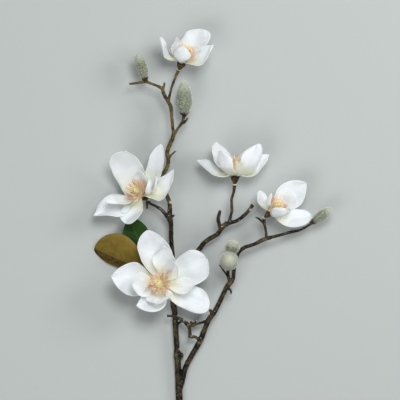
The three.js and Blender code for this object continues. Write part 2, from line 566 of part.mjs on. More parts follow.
function leafSheet(leaf) {
  const foot = vector(leaf.petiole.at(-1));
  const chord = vector(leaf.tip).sub(foot);
  const forward = chord.clone().normalize();
  const sideways = forward.clone().cross(new THREE.Vector3(0, 0, 1)).normalize();
  const upward = sideways.clone().cross(forward).normalize();
  const turn = radians(leaf.turn);
  return (u, s) => {
    const t = 0.012 + 0.976 * u;
    const half = 0.5 * leaf.width * leafOutline(t, leaf.bluntness);
    const spread = s * (1 + leaf.lean * s);
    const reach = (half / leaf.cup) * Math.sin(leaf.cup * spread);
    const lift = leaf.up * (half / leaf.cup) * (1 - Math.cos(leaf.cup * spread));
    const point = foot.clone().addScaledVector(chord, t);
    point.addScaledVector(upward, leaf.bow * chord.length() * 4 * t * (1 - t));
    point.addScaledVector(sideways, reach * Math.cos(turn) - lift * Math.sin(turn));
    return point.addScaledVector(upward, reach * Math.sin(turn) + lift * Math.cos(turn));
  };
}

// The petiole runs on into the blade, where it is the foot of the midrib.
function leafSolid(leaf) {
  const foot = vector(leaf.petiole.at(-1));
  const inside = foot.clone().lerp(vector(leaf.tip), 0.12);
  const stalk = leaf.petiole.map((point) => [...point, PETIOLE_RADIUS]);
  stalk.push([inside.x, inside.y, inside.z, PETIOLE_RADIUS * 0.7]);
  const blade = solidOf(closedBlade(leafSheet(leaf), LEAF_ROWS, LEAF_COLUMNS, LEAF_THICKNESS));
  return joined([blade, limb(stalk, SPUR_SIDES)]);
}

// ---------------------------------------------------------------- the branch
function wood(blooms) {
  const stems = [MAIN_STEM, RIGHT_BRANCH, MIDDLE_BRANCH];
  const twigs = [TOP_TWIG, BUD_2_STALK, BUD_3_STALK, BUD_4_STALK, CROSS_TWIG, CROSS_LINK, STEM_LINK];
  const whole = joined([
    ...stems.map((points) => limb(points, LIMB_SIDES)),
    ...twigs.map((points) => limb(points, TWIG_SIDES)),
    ...SPURS.map((points) => limb(points, SPUR_SIDES)),
    ...blooms.map((bloom) => joined([calyx(bloom), peduncle(bloom)])),
  ]);
  const budSeats = BUDS.map(({ foot, tip }) => {
    const axis = vector(tip).sub(vector(foot)).normalize();
    const room = new THREE.CylinderGeometry(BUD_SEAT.radius, BUD_SEAT.radius, BUD_SEAT.depth, 8);
    return solidOf(along(room.translate(0, BUD_SEAT.depth / 2 - SEAT_GAP, 0), axis, vector(foot)));
  });
  return whole.subtract(joined(budSeats));
}

const blooms = BLOOMS.map((bloom) => (
  { ...bloom, heart: vector(bloom.heart), axis: vector(bloom.axis).normalize() }
));
const belowTable = solidOf(new THREE.BoxGeometry(800, 800, 40).translate(0, 0, -20));
const group = new THREE.Group();

// Adds a named piece, its underside flat where it meets the table.
function addPiece(name, solid, material) {
  const mesh = new THREE.Mesh(geometryOf(mainBody(solid.subtract(belowTable))), material);
  mesh.name = name;
  group.add(mesh);
}

addPiece("branch", wood(blooms), BARK);
for (const bloom of blooms) {
  const petals = tepals(bloom);
  const ring = stamens(bloom, petals);
  addPiece(`${bloom.name}_tepals`, petals, WHITE);
  addPiece(`${bloom.name}_stamens`, ring, CORAL);
  addPiece(`${bloom.name}_pistils`, pistils(bloom, ring), CREAM);
}
for (const item of BUDS) addPiece(item.name, bud(item), FUR);

const large = blooms[2];
const woodByLeaves = joined([
  limb(MAIN_STEM, LIMB_SIDES, SEAT_GAP), peduncle(large, SEAT_GAP), calyx(large, SEAT_GAP),
]);
const [bronzeLeaf, greenLeaf] = LEAVES;
addPiece("bronze_leaf", leafSolid(bronzeLeaf).subtract(woodByLeaves), BRONZE);
addPiece("green_leaf", leafSolid(greenLeaf).subtract(woodByLeaves), GREEN);

const middle = new THREE.Box3().setFromObject(group).getCenter(new THREE.Vector3());
group.position.set(-middle.x, -middle.y, 0);

export default group;
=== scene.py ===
"""A cut magnolia branch lying on a table: the looks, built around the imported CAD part."""
from math import cos, exp, pi, radians, sin, sqrt
from random import Random

import bpy
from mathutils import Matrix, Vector, bvhtree, kdtree, noise


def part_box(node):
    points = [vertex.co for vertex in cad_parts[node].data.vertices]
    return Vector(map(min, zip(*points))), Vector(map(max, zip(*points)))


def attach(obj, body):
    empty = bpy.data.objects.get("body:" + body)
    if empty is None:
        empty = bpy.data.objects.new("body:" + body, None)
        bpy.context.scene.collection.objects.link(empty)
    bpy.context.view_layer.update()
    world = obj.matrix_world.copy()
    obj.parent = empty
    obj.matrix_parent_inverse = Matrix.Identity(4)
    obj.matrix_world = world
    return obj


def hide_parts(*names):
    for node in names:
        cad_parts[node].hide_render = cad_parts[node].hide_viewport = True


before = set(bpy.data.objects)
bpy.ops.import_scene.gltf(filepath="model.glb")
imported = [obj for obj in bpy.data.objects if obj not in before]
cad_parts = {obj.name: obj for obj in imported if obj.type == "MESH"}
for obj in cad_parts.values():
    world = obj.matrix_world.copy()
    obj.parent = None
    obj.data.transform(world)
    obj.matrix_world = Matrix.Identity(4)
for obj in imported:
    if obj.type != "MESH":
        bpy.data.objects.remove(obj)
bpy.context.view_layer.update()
bpy.ops.object.select_all(action="DESELECT")
scene = bpy.context.scene

# -------- camera, table and light
# The branch lies on a pale table and is seen from straight above through a long lens. The view
# takes in half a metre round the middle of the branch's plan, so the last 60 mm of the stem, with
# its cut end, are past the lower edge.
VIEW_WIDTH = 0.5
BLOOM_HEIGHT = 0.035
CAMERA_DISTANCE = 5.0
TABLE_SIZE = 12
TABLE_GAP = 0.0002
LAMP_AIM = Vector((0, 0, 0.03))
# The plan's middle, from the left side and from the foot of the wood. It is 16 mm left of the
# middle of the whole object and 47 mm above it.
WOOD_LEFT = 0.089172
WOOD_FOOT = 0.30916
wood_low = Vector(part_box("branch")[0])
PLAN = Vector((wood_low.x + WOOD_LEFT, wood_low.y + WOOD_FOOT, 0))

bpy.ops.object.camera_add(location=PLAN + Vector((0, 0, BLOOM_HEIGHT + CAMERA_DISTANCE)))
camera = bpy.context.object
camera.name = "overhead_camera"
camera.data.lens = camera.data.sensor_width * CAMERA_DISTANCE / VIEW_WIDTH
camera.data.clip_end = 20
scene.camera = camera
scene.view_settings.view_transform = "Standard"


def set_inputs(node, inputs):
    """Sets a node's inputs to plain values, or links them to sockets."""
    for key, value in inputs.items():
        if isinstance(value, bpy.types.NodeSocket):
            node.id_data.links.new(value, node.inputs[key])
        else:
            node.inputs[key].default_value = value


bpy.ops.mesh.primitive_plane_add(size=TABLE_SIZE, location=(0, 0, -TABLE_GAP))
table = bpy.context.object
table.name = "table"
table_finish = bpy.data.materials.new("table_finish")
table_finish.use_nodes = True
paint = {"Base Color": (0.40, 0.425, 0.415, 1), "Roughness": 0.9, "Specular IOR Level": 0.2}
set_inputs(table_finish.node_tree.nodes["Principled BSDF"], paint)
table.data.materials.append(table_finish)


def soft_lamp(name, place, size, watts):
    """A square soft box that looks at the branch."""
    bpy.ops.object.light_add(type="AREA", location=place)
    lamp = bpy.context.object
    lamp.name = name
    lamp.data.size = size
    lamp.data.energy = watts
    lamp.rotation_euler = (LAMP_AIM - lamp.location).to_track_quat("-Z", "Y").to_euler()


soft_lamp("top_light", (0.3, 0.9, 2.4), 0.9, 44)
soft_lamp("key_light", (1.5, 0.7, 1.1), 0.7, 16)
soft_lamp("fill_light", (-1.0, -1.0, 1.9), 1.4, 21)
sky = bpy.data.worlds.new("studio_air")
sky.use_nodes = True
set_inputs(sky.node_tree.nodes["Background"], {"Color": (0.93, 0.97, 1, 1), "Strength": 0.24})
scene.world = sky

# -------- branch
# The wood of a flowering shoot, grown in one piece: a stem cut at its foot, two long side
# branches, thin twigs, stalks, the cups that hold the blooms, the scales at the feet of the buds,
# and spurs. It is made as tubes that a remesh grows together, and then gets its bark.
MM = 0.001
LIMB_SIDES = 20
ROWS_A_SPAN = 7
CAP_ROWS = 2
CAP_SHARE = 0.85
BARK_GRAIN = 0.00062
# Every limb is a tube along its points: x, y and z of its middle and its radius, in millimetres
# of the plan.
STEMS = {
    "main_stem": [
        (-24, -309, 4.0, 4.7), (-25, -281, 4.1, 4.6), (-26, -250, 4.9, 4.5), (-27, -225, 6, 4.2),
        (-28, -203, 7.5, 4.0), (-28.5, -195, 8, 4.6), (-29, -186, 8.5, 3.7), (-30, -171, 9.5, 3.5),
        (-31, -154, 10.5, 3.7), (-31.5, -142, 11.5, 3.6), (-33.5, -129, 12.5, 3.8), (-33, -106, 13.5, 3.3),
        (-34, -75, 15, 2.9), (-36, -50, 16.5, 2.7), (-36.5, -30, 18, 3.1), (-38, -20, 19, 3.4),
        (-38, -6, 20, 2.8), (-42, 7, 21, 2.6), (-49, 20, 22, 2.5), (-49, 29, 22.5, 2.7),
        (-42.5, 38, 23, 2.3), (-39.5, 49, 23.5, 2.4), (-41, 61, 24, 2.5), (-33.5, 80, 25, 2.5),
        (-34, 90, 25.5, 2.1), (-35.5, 106, 26.5, 2.1), (-36.5, 116, 27, 2.4), (-41, 125, 28, 2.3)],
    "top_twig": [
        (-40, 123, 28, 2.2), (-45, 132, 28.5, 2.3), (-47.5, 139, 28.5, 2.2), (-54, 143, 28, 1.8),
        (-62, 146, 27.5, 1.7), (-68, 148, 27, 2.0), (-76, 147, 26.5, 1.7), (-89, 145, 26, 1.4)],
    "right_branch": [
        (-25, -238, 6, 3.0), (-22, -226, 7, 3.3), (-18, -210, 8.5, 3.3), (-8.8, -192.5, 10, 3.3),
        (-0.2, -177.5, 12, 3.6), (5.8, -162.5, 14, 3.2), (10.7, -150.5, 15.5, 3.4),
        (17.5, -141.5, 16.5, 3.1), (26, -125, 18.5, 2.8), (32.5, -111, 20, 3.0), (37.5, -104, 21, 3.2),
        (41.5, -98, 22, 2.6), (42.5, -86, 22.5, 2.5), (47, -68, 23.5, 2.5), (55, -60, 24, 2.4),
        (69, -55, 25, 2.3), (81, -49, 25.5, 2.6), (100, -44, 25, 1.9), (114, -40, 24, 2.0),
        (124, -38, 23.5, 1.6), (133, -33.5, 23, 1.5), (139.3, -29.7, 23, 1.7)],
    "middle_branch": [
        (-33.5, -114, 13, 3.0), (-27, -98, 14.5, 2.9), (-17, -80, 16, 2.9), (-2, -63, 18, 3.0),
        (5, -54, 19, 2.9), (12, -48.5, 20, 2.9), (22, -42.5, 21, 2.7), (28.5, -33.5, 22, 3.2),
        (36, -29, 22.5, 2.8), (46, -26, 23, 2.3), (55, -19.5, 24, 2.3), (62, -12, 25, 2.3),
        (66, -6, 25.5, 2.5)],
    "cross_twig": [
        (0, -176, 12.5, 2.1), (-6, -172, 14.5, 2.0), (-12, -171, 16, 2.3), (-13, -162, 17, 2.0),
        (-16, -156, 18, 2.7), (-21.5, -151, 18.5, 2.2), (-31, -146.5, 18.5, 1.9), (-37, -145.5, 18, 1.4),
        (-41, -145.5, 17.5, 2.0)],
    "cross_link": [(8, -152, 15.5, 1.9), (-2, -155, 16, 1.5), (-11, -158, 17, 1.8), (-15, -157, 17.5, 1.9)],
    "stem_link": [(-30, -160, 10.5, 1.9), (-27, -155, 14, 1.6), (-22, -151, 17.5, 1.7)],
    "bud_2_stalk": [(-33, 80, 25, 2.0), (-30, 86, 26.5, 1.8), (-22.5, 97, 28, 1.7), (-20, 105.5, 29, 2.2)],
    "bud_3_stalk": [
        (37, -103, 21, 2.2), (35.5, -95, 23.5, 1.9), (35, -87, 27.5, 1.9), (35.8, -80, 33, 2.0)],
    "bud_4_stalk": [(42.5, -90, 22.5, 1.7), (41.5, -79, 24, 1.5), (39.5, -70, 28, 1.8)],
}
# Spurs, stubs and knobs, told in the same way.
SPURS = [
    [(-28, -196, 8, 3.2), (-24.5, -195, 9.5, 3.0), (-21.3, -194.5, 10, 2.9)],
    [(-26, -192, 9, 2.0), (-23.5, -188.5, 11, 1.4)],
    [(-37, -23, 19, 2.0), (-33.5, -20, 20, 1.4), (-31.3, -18.5, 20.5, 1.5)],
    [(-38, -9, 20, 1.9), (-36.6, -5.5, 22, 1.2), (-36, -3.5, 23, 1.1)],
    [(-39.5, 52, 23.5, 1.7), (-35.5, 57, 24.5, 1.1), (-32, 60, 25, 1.2), (-29.5, 62, 25, 0.9)],
    [(-47, 138, 28.5, 2.2), (-45, 143, 29.5, 1.5), (-44.3, 147.5, 30, 1.1)],
    [(-23, 96, 28, 1.7), (-19, 97, 29.5, 1.2), (-15, 103.5, 30.5, 1.1)],
    [(-66.5, -2, 22, 1.6), (-66.3, -8, 21.5, 1.5), (-66, -12, 21, 1.2)],
    [(115, -40, 24, 1.5), (116.5, -36.5, 25, 1.0)],
    [(15, -143, 16, 2.2), (12.5, -137.5, 18, 1.9)],
    [(34, -109, 20.5, 2.0), (38.5, -113.5, 21.5, 1.5), (38.5, -118, 21, 1.2)],
    [(35, -96, 22.5, 1.5), (28, -86, 22, 1.1), (24, -81, 21.5, 1.2)],
    [(-14, -158, 17.5, 1.8), (-8.5, -152, 19, 1.4)],
    [(-17, -156, 18, 1.8), (-15.5, -151, 20, 1.3)],
    [(-12.5, -158, 17.2, 1.7), (-11.3, -154, 18.5, 1.4), (-11.5, -150.5, 19.5, 1.1)],
    [(-9, -157.5, 16.8, 1.6), (-6.3, -154, 17.5, 1.3), (-4.5, -150.8, 18, 1.0)],
    [(-19.5, -153.5, 18.4, 1.7), (-19.2, -149.5, 19.6, 1.3)],
    [(-29, -147.5, 18.6, 1.6), (-27.6, -144.2, 19.8, 1.2)],
    [(-12.5, -171, 16, 1.6), (-15.5, -173, 16.5, 1.2)],
    [
        (26, -37, 21.5, 2.2), (24, -30, 23, 2.4), (22.8, -23.5, 24, 2.3), (24.5, -16, 24.5, 2.2),
        (26, -12.5, 24.5, 1.3)],
    [(32, -31, 22.5, 2.0), (33, -25.5, 24, 1.5)],
    [(60, -15, 25, 1.6), (63.5, -13, 26.5, 1.1)],
    [(81.5, -30, 24.5, 1.5), (77, -26.5, 24, 1.3), (73, -23, 23.5, 1.1), (69, -21.5, 23, 1.0)],
]
# Each bloom's heart is where its tepals join the cup, and its axis points out of its mouth.
HEARTS = {
    "bloom_1": ((-23, 171, 30), (0.36, 0.78, 0.51)),
    "bloom_2": ((-71, 5, 30), (-0.5, 0.4, 0.77)),
    "bloom_3": ((-48, -105, 32), (-0.16, 0.08, 0.98)),
    "bloom_4": ((44, 29, 30), (0.06, 0.94, 0.33)),
    "bloom_5": ((86.5, -16.5, 30), (0.57, 0.52, 0.63)),
}
PEDUNCLES = {
    "bloom_1": [(-40, 122, 28, 2.0), (-37.5, 133, 28, 1.6), (-34.5, 144, 27.5, 1.6), (-31, 153, 26.5, 1.6)],
    "bloom_2": [
        (-37, -28, 18.5, 2.4), (-42, -20, 19.5, 2.1), (-47.5, -13, 20, 2.3), (-55, -8, 20, 1.7),
        (-62, -4.5, 20, 1.7), (-65, -1.5, 20, 2.0)],
    "bloom_3": [(-33, -113, 13.5, 2.6), (-38, -111, 16, 2.5), (-43.5, -109, 17, 2.4)],
    "bloom_4": [
        (36, -29, 22.5, 2.2), (38.5, -20, 23.5, 1.7), (40, -12, 24.5, 1.9), (39.5, 1, 25.5, 1.7),
        (42, 9, 26, 1.8)],
    "bloom_5": [(83, -48, 25.5, 2.0), (82.5, -38, 24.5, 1.7), (80.5, -30, 22, 1.8)],
}
# Where a peduncle ends in its cup: how far below the heart, and the radius there.
PEDUNCLE_END = (10.7, 2.2)
# The cup and the pale ring under it, told in the same way.
CUP = [(11.9, 2.5), (9.7, 2.7), (9.1, 2.0), (7.4, 2.8), (4.7, 4.1), (1.6, 5.2), (0.3, 4.9)]
# The pointed bracts round it: distance from the axis, below the heart, and half thickness.
BRACT = [(2.8, 5.5, 1.3), (4.3, 2.4, 1.1), (5.5, -0.4, 0.7), (6.4, -2.4, 0.35)]
BRACTS_A_CUP = 4
# A nodding bloom hides most of its cup, which is slimmer than the others.
CUP_SHARE = {"bloom_5": 0.72}
# Each bud's foot and tip, its radius, how far along it is fullest, and how pointed its end is.
BUDS = {
    "bud_1": ((-68, 150, 27.5), (-78.5, 183.5, 31), 7.4, 0.5, 0.42),
    "bud_2": ((-19.7, 106, 29), (-20.3, 150, 33), 10.9, 0.38, 0.62),
    "bud_3": ((36, -79, 34), (36.5, -72.5, 62), 11.9, 0.45, 0.55),
    "bud_4": ((39.3, -69, 28.5), (41.5, -50.5, 35), 9, 0.5, 0.5),
    "bud_5": ((139.8, -28.6, 23.2), (165.5, -10.5, 27), 6.5, 0.5, 0.42),
}
BUD_FOOT_FULLNESS = 0.62
# The scales that hold a bud's foot: how far along it, their gap to it and half thickness.
FOOT_SCALE = [(-1.4, 0.2, 1.2), (0.6, 0.4, 1.0), (2.2, 0.35, 0.85), (4.0, 0.45, 0.4)]
SCALES_A_BUD = 9
STALK_RADIUS = 1


def on_plan(point):
    """A point of the plan, in millimetres, as a place in the object's frame."""
    return PLAN + Vector(point[:3]) * MM


def grown_sheet(name, across, along, corner):
    """A grid whose corners are moved to corner(u, v), with u across it and v along it."""
    bpy.ops.mesh.primitive_grid_add(x_subdivisions=across, y_subdivisions=along, size=1)
    sheet = bpy.context.object
    sheet.name = name
    for vertex in sheet.data.vertices:
        vertex.co = on_plan(corner(vertex.co.x + 0.5, vertex.co.y + 0.5))
    return sheet


def close_seams(piece, gap=1e-6):
    """Merges the corners that meet at a seam or a pole, and points all faces outwards."""
    bpy.context.view_layer.objects.active = piece
    bpy.ops.object.mode_set(mode="EDIT")
    bpy.ops.mesh.select_all(action="SELECT")
    bpy.ops.mesh.remove_doubles(threshold=gap)
    bpy.ops.mesh.normals_make_consistent(inside=False)
    bpy.ops.object.mode_set(mode="OBJECT")


def join_pieces(name, parts):
    """Joins objects into the first of them, and leaves nothing selected."""
    bpy.ops.object.select_all(action="DESELECT")
    for part in parts:
        part.select_set(True)
    bpy.context.view_layer.objects.active = parts[0]
    bpy.ops.object.join()
    bpy.ops.object.select_all(action="DESELECT")
    parts[0].name = name
    parts[0].data.name = name
    return parts[0]


def keep_above_table(piece):
    """Lifts the corners that hang below the table's level up to it."""
    for vertex in piece.data.vertices:
        vertex.co.z = max(vertex.co.z, 0)


def point_colours(piece, name, colour=None):
    """A colour for each corner of a piece, all of them the same if one is given."""
    layer = piece.data.color_attributes.new(name, "FLOAT_COLOR", "POINT").data
    if colour:
        for value in layer:
            value.color = colour
    return layer


def give_finish(piece, finish):
    """Gives a piece its one material and smooth shading."""
    piece.data.materials.clear()
    piece.data.materials.append(finish)
    for face in piece.data.polygons:
        face.use_smooth = True


def limb_at(points, place):
    """The middle and the radius of a limb, part way along its points, on a smooth curve."""
    last = len(points) - 1
    span = min(int(place), last - 1)
    f = place - span
    near = [points[min(max(span + step, 0), last)] for step in (-1, 0, 1, 2)]
    return [
        0.5 * (2 * b + (c - a) * f + (2 * a - 5 * b + 4 * c - d) * f**2 + (3 * b - a - 3 * c + d) * f**3)
        for a, b, c, d in zip(*near)
    ]


def limb_tube(name, points):
    """A tube round a limb's points, closed at both ends."""
    last = len(points) - 1
    body_rows = ROWS_A_SPAN * last
    rows = body_rows + 2 * CAP_ROWS
    cap = {0: 0.0, 1: CAP_SHARE, rows - 1: CAP_SHARE, rows: 0.0}
    nudge = 0.05

    def corner(u, v):
        row = round(v * rows)
        place = min(max((row - CAP_ROWS) / body_rows, 0), 1) * last
        x, y, z, radius = limb_at(points, place)
        radius *= cap.get(row, 1.0)
        before = Vector(limb_at(points, max(place - nudge, 0))[:3])
        after = Vector(limb_at(points, min(place + nudge, last))[:3])
        tangent = (after - before).normalized()
        level = Vector((0, 0, 1)) if abs(tangent.z) < 0.9 else Vector((1, 0, 0))
        side = tangent.cross(level).normalized()
        rise = side.cross(tangent)
        turn = 2 * pi * u
        return Vector((x, y, z)) + (side * cos(turn) + rise * sin(turn)) * radius

    tube = grown_sheet(name, LIMB_SIDES, rows, corner)
    close_seams(tube)
    return tube


def way_out(axis, turn):
    """The way out from an axis at a turn round it."""
    first = Vector((1, 0, 0)).cross(axis).normalized()
    return first * cos(turn) + axis.cross(first) * sin(turn)


def bud_radius(t, radius, fullest, fullness):
    """A bud's radius along it, from 0 at its foot over the full radius to 0 at its tip."""
    eased = 0.5 * t / fullest if t < fullest else 0.5 + 0.5 * (t - fullest) / (1 - fullest)
    return radius * max(sin(pi * eased), 0) ** (BUD_FOOT_FULLNESS if t < fullest else fullness)


hearts = {name: (Vector(heart), Vector(axis).normalized()) for name, (heart, axis) in HEARTS.items()}
limbs = [*STEMS.values(), *SPURS]
cups = []
for bloom, (heart, axis) in hearts.items():
    share = CUP_SHARE.get(bloom, 1)
    cups.append([(*(heart - axis * below), radius * share) for below, radius in CUP])
    for i in range(BRACTS_A_CUP):
        away = way_out(axis, 2 * pi * (i + 0.25) / BRACTS_A_CUP)
        cups.append([(*(heart + away * out * share - axis * below), half) for out, below, half in BRACT])
    below, radius = PEDUNCLE_END
    limbs.append([*PEDUNCLES[bloom], (*(heart - axis * below), radius)])

for foot, tip, radius, fullest, fullness in BUDS.values():
    foot, chord = Vector(foot), Vector(tip) - Vector(foot)
    axis = chord.normalized()
    for i in range(SCALES_A_BUD):
        away = way_out(axis, 2 * pi * i / SCALES_A_BUD)
        scale = []
        for rise, gap, half in FOOT_SCALE:
            girth = STALK_RADIUS
            if rise > 0:
                girth = bud_radius(rise / chord.length, radius, fullest, fullness)
            scale.append((*(foot + axis * rise + away * (girth + gap)), half))
        cups.append(scale)

tubes = [limb_tube(f"limb_{i}", points) for i, points in enumerate([*limbs, *cups])]
wood = join_pieces("branch_wood", tubes)
wood.data.remesh_voxel_size = BARK_GRAIN
bpy.ops.object.voxel_remesh()

# Places along the limbs and the cups, with what the bark goes by there: the radius, how far the
# nearest knot and the limb's tip are, and how many points along its cup the place is. Bracts and
# scales count as cup from their foot on.
PLACES_A_SPAN = 12
CUP_PLACES_A_SPAN = 6
BRACT_START = 2
KNOT_SWELL = 0.15
FAR = 99
bark_places = []
for points in limbs:
    last = len(points) - 1
    radii = [point[3] for point in points]
    knots = [
        Vector(points[i][:3]) for i in range(1, last)
        if radii[i] > radii[i - 1] + KNOT_SWELL and radii[i] > radii[i + 1] + KNOT_SWELL
    ]
    for step in range(PLACES_A_SPAN * last + 1):
        x, y, z, radius = limb_at(points, step / PLACES_A_SPAN)
        middle = Vector((x, y, z))
        knot = min(((middle - k).length for k in knots), default=FAR)
        tip = (middle - Vector(points[-1][:3])).length
        bark_places.append((middle, radius, knot, tip, 0))
for cup in cups:
    first = 0 if len(cup) == len(CUP) else BRACT_START
    for step in range(CUP_PLACES_A_SPAN * (len(cup) - 1) + 1):
        span = step / CUP_PLACES_A_SPAN
        x, y, z, radius = limb_at(cup, span)
        bark_places.append((Vector((x, y, z)), radius, FAR, FAR, first + span))
nearest = kdtree.KDTree(len(bark_places))
for index, (middle, *_) in enumerate(bark_places):
    nearest.insert(on_plan(middle), index)
nearest.balance()

# Rings of scars round each knot, lumps, pale specks, a painted highlight on the tips of thin twigs,
# the pale ring under each cup, and the sawn face at the foot, which stays flat. Sizes are in
# millimetres, and the pale ring's end in points along its cup.
RING_SPACING = 0.9
RING_WIDTH = 0.2
RINGS_REACH = 1.8
RING_HEIGHT = 0.22
THIN_TWIG = 1.8
TIP_HIGHLIGHT_REACH = 1.6
WARM_REACH = 3.5
CUT_DEPTH = 0.7
PALE_RING_END = 1.6
SPECK_LEVEL = 0.56
marks = point_colours(wood, "bark_marks")
stem_foot = on_plan(STEMS["main_stem"][0])
normals = [vertex.normal.copy() for vertex in wood.data.vertices]
for vertex, normal in zip(wood.data.vertices, normals):
    _, index, _ = nearest.find(vertex.co)
    _, radius, knot, tip, cup = bark_places[index]
    here = vertex.co / MM
    ring = exp(-((knot % RING_SPACING - RING_SPACING / 2) / RING_WIDTH) ** 2)
    rings = ring * exp(-((knot / RINGS_REACH) ** 2))
    along = Vector((here.x, here.y * 0.35, here.z))
    lumps = 0.32 * noise.noise(here * 0.3) + 0.26 * noise.noise(along * 0.8) + 0.1 * noise.noise(here * 1.6)
    speck = max(noise.noise(here * 0.75) - SPECK_LEVEL, 0) * 3.5
    cut = 1 if vertex.co.y < stem_foot.y + CUT_DEPTH * MM and normal.y < -0.7 else 0
    vertex.co += normal * (lumps + RING_HEIGHT * rings) * (0 if cut else 1) * MM
    pale_ring = 1 if 0 < cup < PALE_RING_END else 0
    # The tips of thin twigs are painted paler: a painted highlight.
    painted_tip_highlight = max(1 - tip / TIP_HIGHLIGHT_REACH, 0) if radius < THIN_TWIG else 0
    pale = min(0.25 * rings + speck + 0.6 * painted_tip_highlight + pale_ring, 1)
    warm = 1 if cup > PALE_RING_END else exp(-((knot / WARM_REACH) ** 2)) * 0.8
    marks[vertex.index].color = (pale, warm, cut, 1)
keep_above_table(wood)


def add_node(tree, kind, inputs=None, **settings):
    """A new node with its properties and inputs."""
    node = tree.nodes.new(kind)
    for key, value in settings.items():
        setattr(node, key, value)
    set_inputs(node, inputs or {})
    return node


def mix_colours(tree, factor, first, second):
    """A colour mix, whose factor and ends are sockets or plain values."""
    mixer = add_node(tree, "ShaderNodeMix", {0: factor, 6: first, 7: second}, data_type="RGBA")
    return mixer.outputs[2]


def lay_over(tree, colour, *layers):
    """Lays colours over a first one, each as far as its own factor says."""
    for factor, over in layers:
        colour = mix_colours(tree, factor, colour, over)
    return colour


def ramp(tree, value, low, high):
    """0 below low and 1 above high, smooth between."""
    span = {"Value": value, "From Min": low, "From Max": high}
    return add_node(tree, "ShaderNodeMapRange", span, interpolation_type="SMOOTHSTEP").outputs["Result"]


def noise_value(tree, place, scale, detail, roughness):
    """Cloudy noise at a place, about 0.5 on average."""
    inputs = {"Vector": place, "Scale": scale, "Detail": detail, "Roughness": roughness}
    return add_node(tree, "ShaderNodeTexNoise", inputs).outputs["Fac"]


# The skin of everything grown: cloudy patches, and a fine relief. Each material sets its own
# sizes and depth.
SKIN_INPUTS = ("Patch Scale", "Patch Low", "Patch High", "Relief Scale", "Relief Strength", "Relief Depth")
grown_skin = bpy.data.node_groups.new("grown_skin", "ShaderNodeTree")
for socket in SKIN_INPUTS:
    grown_skin.interface.new_socket(name=socket, in_out="INPUT", socket_type="NodeSocketFloat")
grown_skin.interface.new_socket(name="Patches", in_out="OUTPUT", socket_type="NodeSocketFloat")
grown_skin.interface.new_socket(name="Normal", in_out="OUTPUT", socket_type="NodeSocketVector")
given = add_node(grown_skin, "NodeGroupInput").outputs
place = add_node(grown_skin, "ShaderNodeTexCoord").outputs["Object"]
clouds = noise_value(grown_skin, place, given["Patch Scale"], 4, 0.6)
patches = ramp(grown_skin, clouds, given["Patch Low"], given["Patch High"])
grain = noise_value(grown_skin, place, given["Relief Scale"], 5, 0.7)
relief = {"Height": grain, "Strength": given["Relief Strength"], "Distance": given["Relief Depth"]}
normal = add_node(grown_skin, "ShaderNodeBump", relief).outputs["Normal"]
add_node(grown_skin, "NodeGroupOutput", {"Patches": patches, "Normal": normal})


def grown_material(name, patches, relief):
    """A material with the shared skin's relief. Gives it, its nodes, its shader and its patches."""
    finish = bpy.data.materials.new(name)
    finish.use_nodes = True
    tree = finish.node_tree
    shader = tree.nodes["Principled BSDF"]
    values = dict(zip(SKIN_INPUTS, (*patches, *relief)))
    skin = add_node(tree, "ShaderNodeGroup", values, node_tree=grown_skin)
    set_inputs(shader, {"Normal": skin.outputs["Normal"]})
    return finish, tree, shader, skin.outputs["Patches"]


def attribute_parts(tree, name):
    """The red, green and blue of a piece's own colour attribute."""
    colour = add_node(tree, "ShaderNodeAttribute", attribute_name=name).outputs["Color"]
    return add_node(tree, "ShaderNodeSeparateColor", {"Color": colour}).outputs


# Dark old bark low down and lighter young bark higher up, ochre patches, flakes, the marks of the
# corners, and growth rings round the pith of the cut end.
bark, tree, shader, patches = grown_material("magnolia_bark", (75, 0.38, 0.62), (800, 0.7, 0.0007))
place = add_node(tree, "ShaderNodeTexCoord").outputs["Object"]
young_bark = mix_colours(tree, patches, (0.016, 0.010, 0.003, 1), (0.115, 0.083, 0.026, 1))
old_bark = mix_colours(tree, patches, (0.003, 0.002, 0.001, 1), (0.022, 0.015, 0.006, 1))
height = add_node(tree, "ShaderNodeSeparateXYZ", {"Vector": place}).outputs["Y"]
ochre = ramp(tree, noise_value(tree, place, 150, 5, 0.75), 0.48, 0.8)
flakes = ramp(tree, noise_value(tree, place, 380, 5, 0.7), 0.58, 0.76)
pale, warm, cut = attribute_parts(tree, "bark_marks")
warm_bark = mix_colours(tree, patches, (0.022, 0.012, 0.005, 1), (0.085, 0.050, 0.018, 1))
from_pith = add_node(tree, "ShaderNodeVectorMath", {0: place, 1: stem_foot}, operation="SUBTRACT")
growth = {"Vector": from_pith.outputs["Vector"], "Scale": 560, "Distortion": 2.5, "Detail": 2}
rings = add_node(tree, "ShaderNodeTexWave", growth, wave_type="RINGS", rings_direction="Y").outputs["Fac"]
cut_wood = mix_colours(tree, rings, (0.42, 0.29, 0.14, 1), (0.54, 0.40, 0.22, 1))
colour = lay_over(
    tree, old_bark,
    (ramp(tree, height, 0.02, 0.11), young_bark),
    (ochre, (0.150, 0.108, 0.030, 1)),
    (flakes, (0.17, 0.125, 0.06, 1)),
    (warm, warm_bark),
    # The pale marks hold scars, specks, the pale ring and the painted highlight on thin twig tips.
    (pale, (0.62, 0.60, 0.50, 1)),
    (cut, cut_wood),
)
set_inputs(shader, {"Base Color": colour, "Roughness": 0.36, "Specular IOR Level": 0.18})
give_finish(wood, bark)
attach(wood, "root")
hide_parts("branch")

# -------- tepals
# Eight to ten broad white tepals in each bloom, soft and fleshy, about half a millimetre thick
# and thinner at the rim, held at their narrow claws in the cup.
TEPAL_COLUMNS = 22
TEPAL_ROWS = 36
TEPAL_THICKNESS = 0.00055
RIM_THICKNESS_SHARE = 0.35
CLAW_RISE = 2.2
CLAW_INSET = 3.0
# Above 1, the rows of a blade stand closer towards its tip.
ROWS_TO_TIP = 1.35
# The waves of the rims, the dents and the furrow's width are shares of the tepal's width.
RIPPLE_HEIGHT = 0.03
DENT_DEPTH = 0.07
FURROW_WIDTH = 0.14
FURROW_DEPTH = 0.45
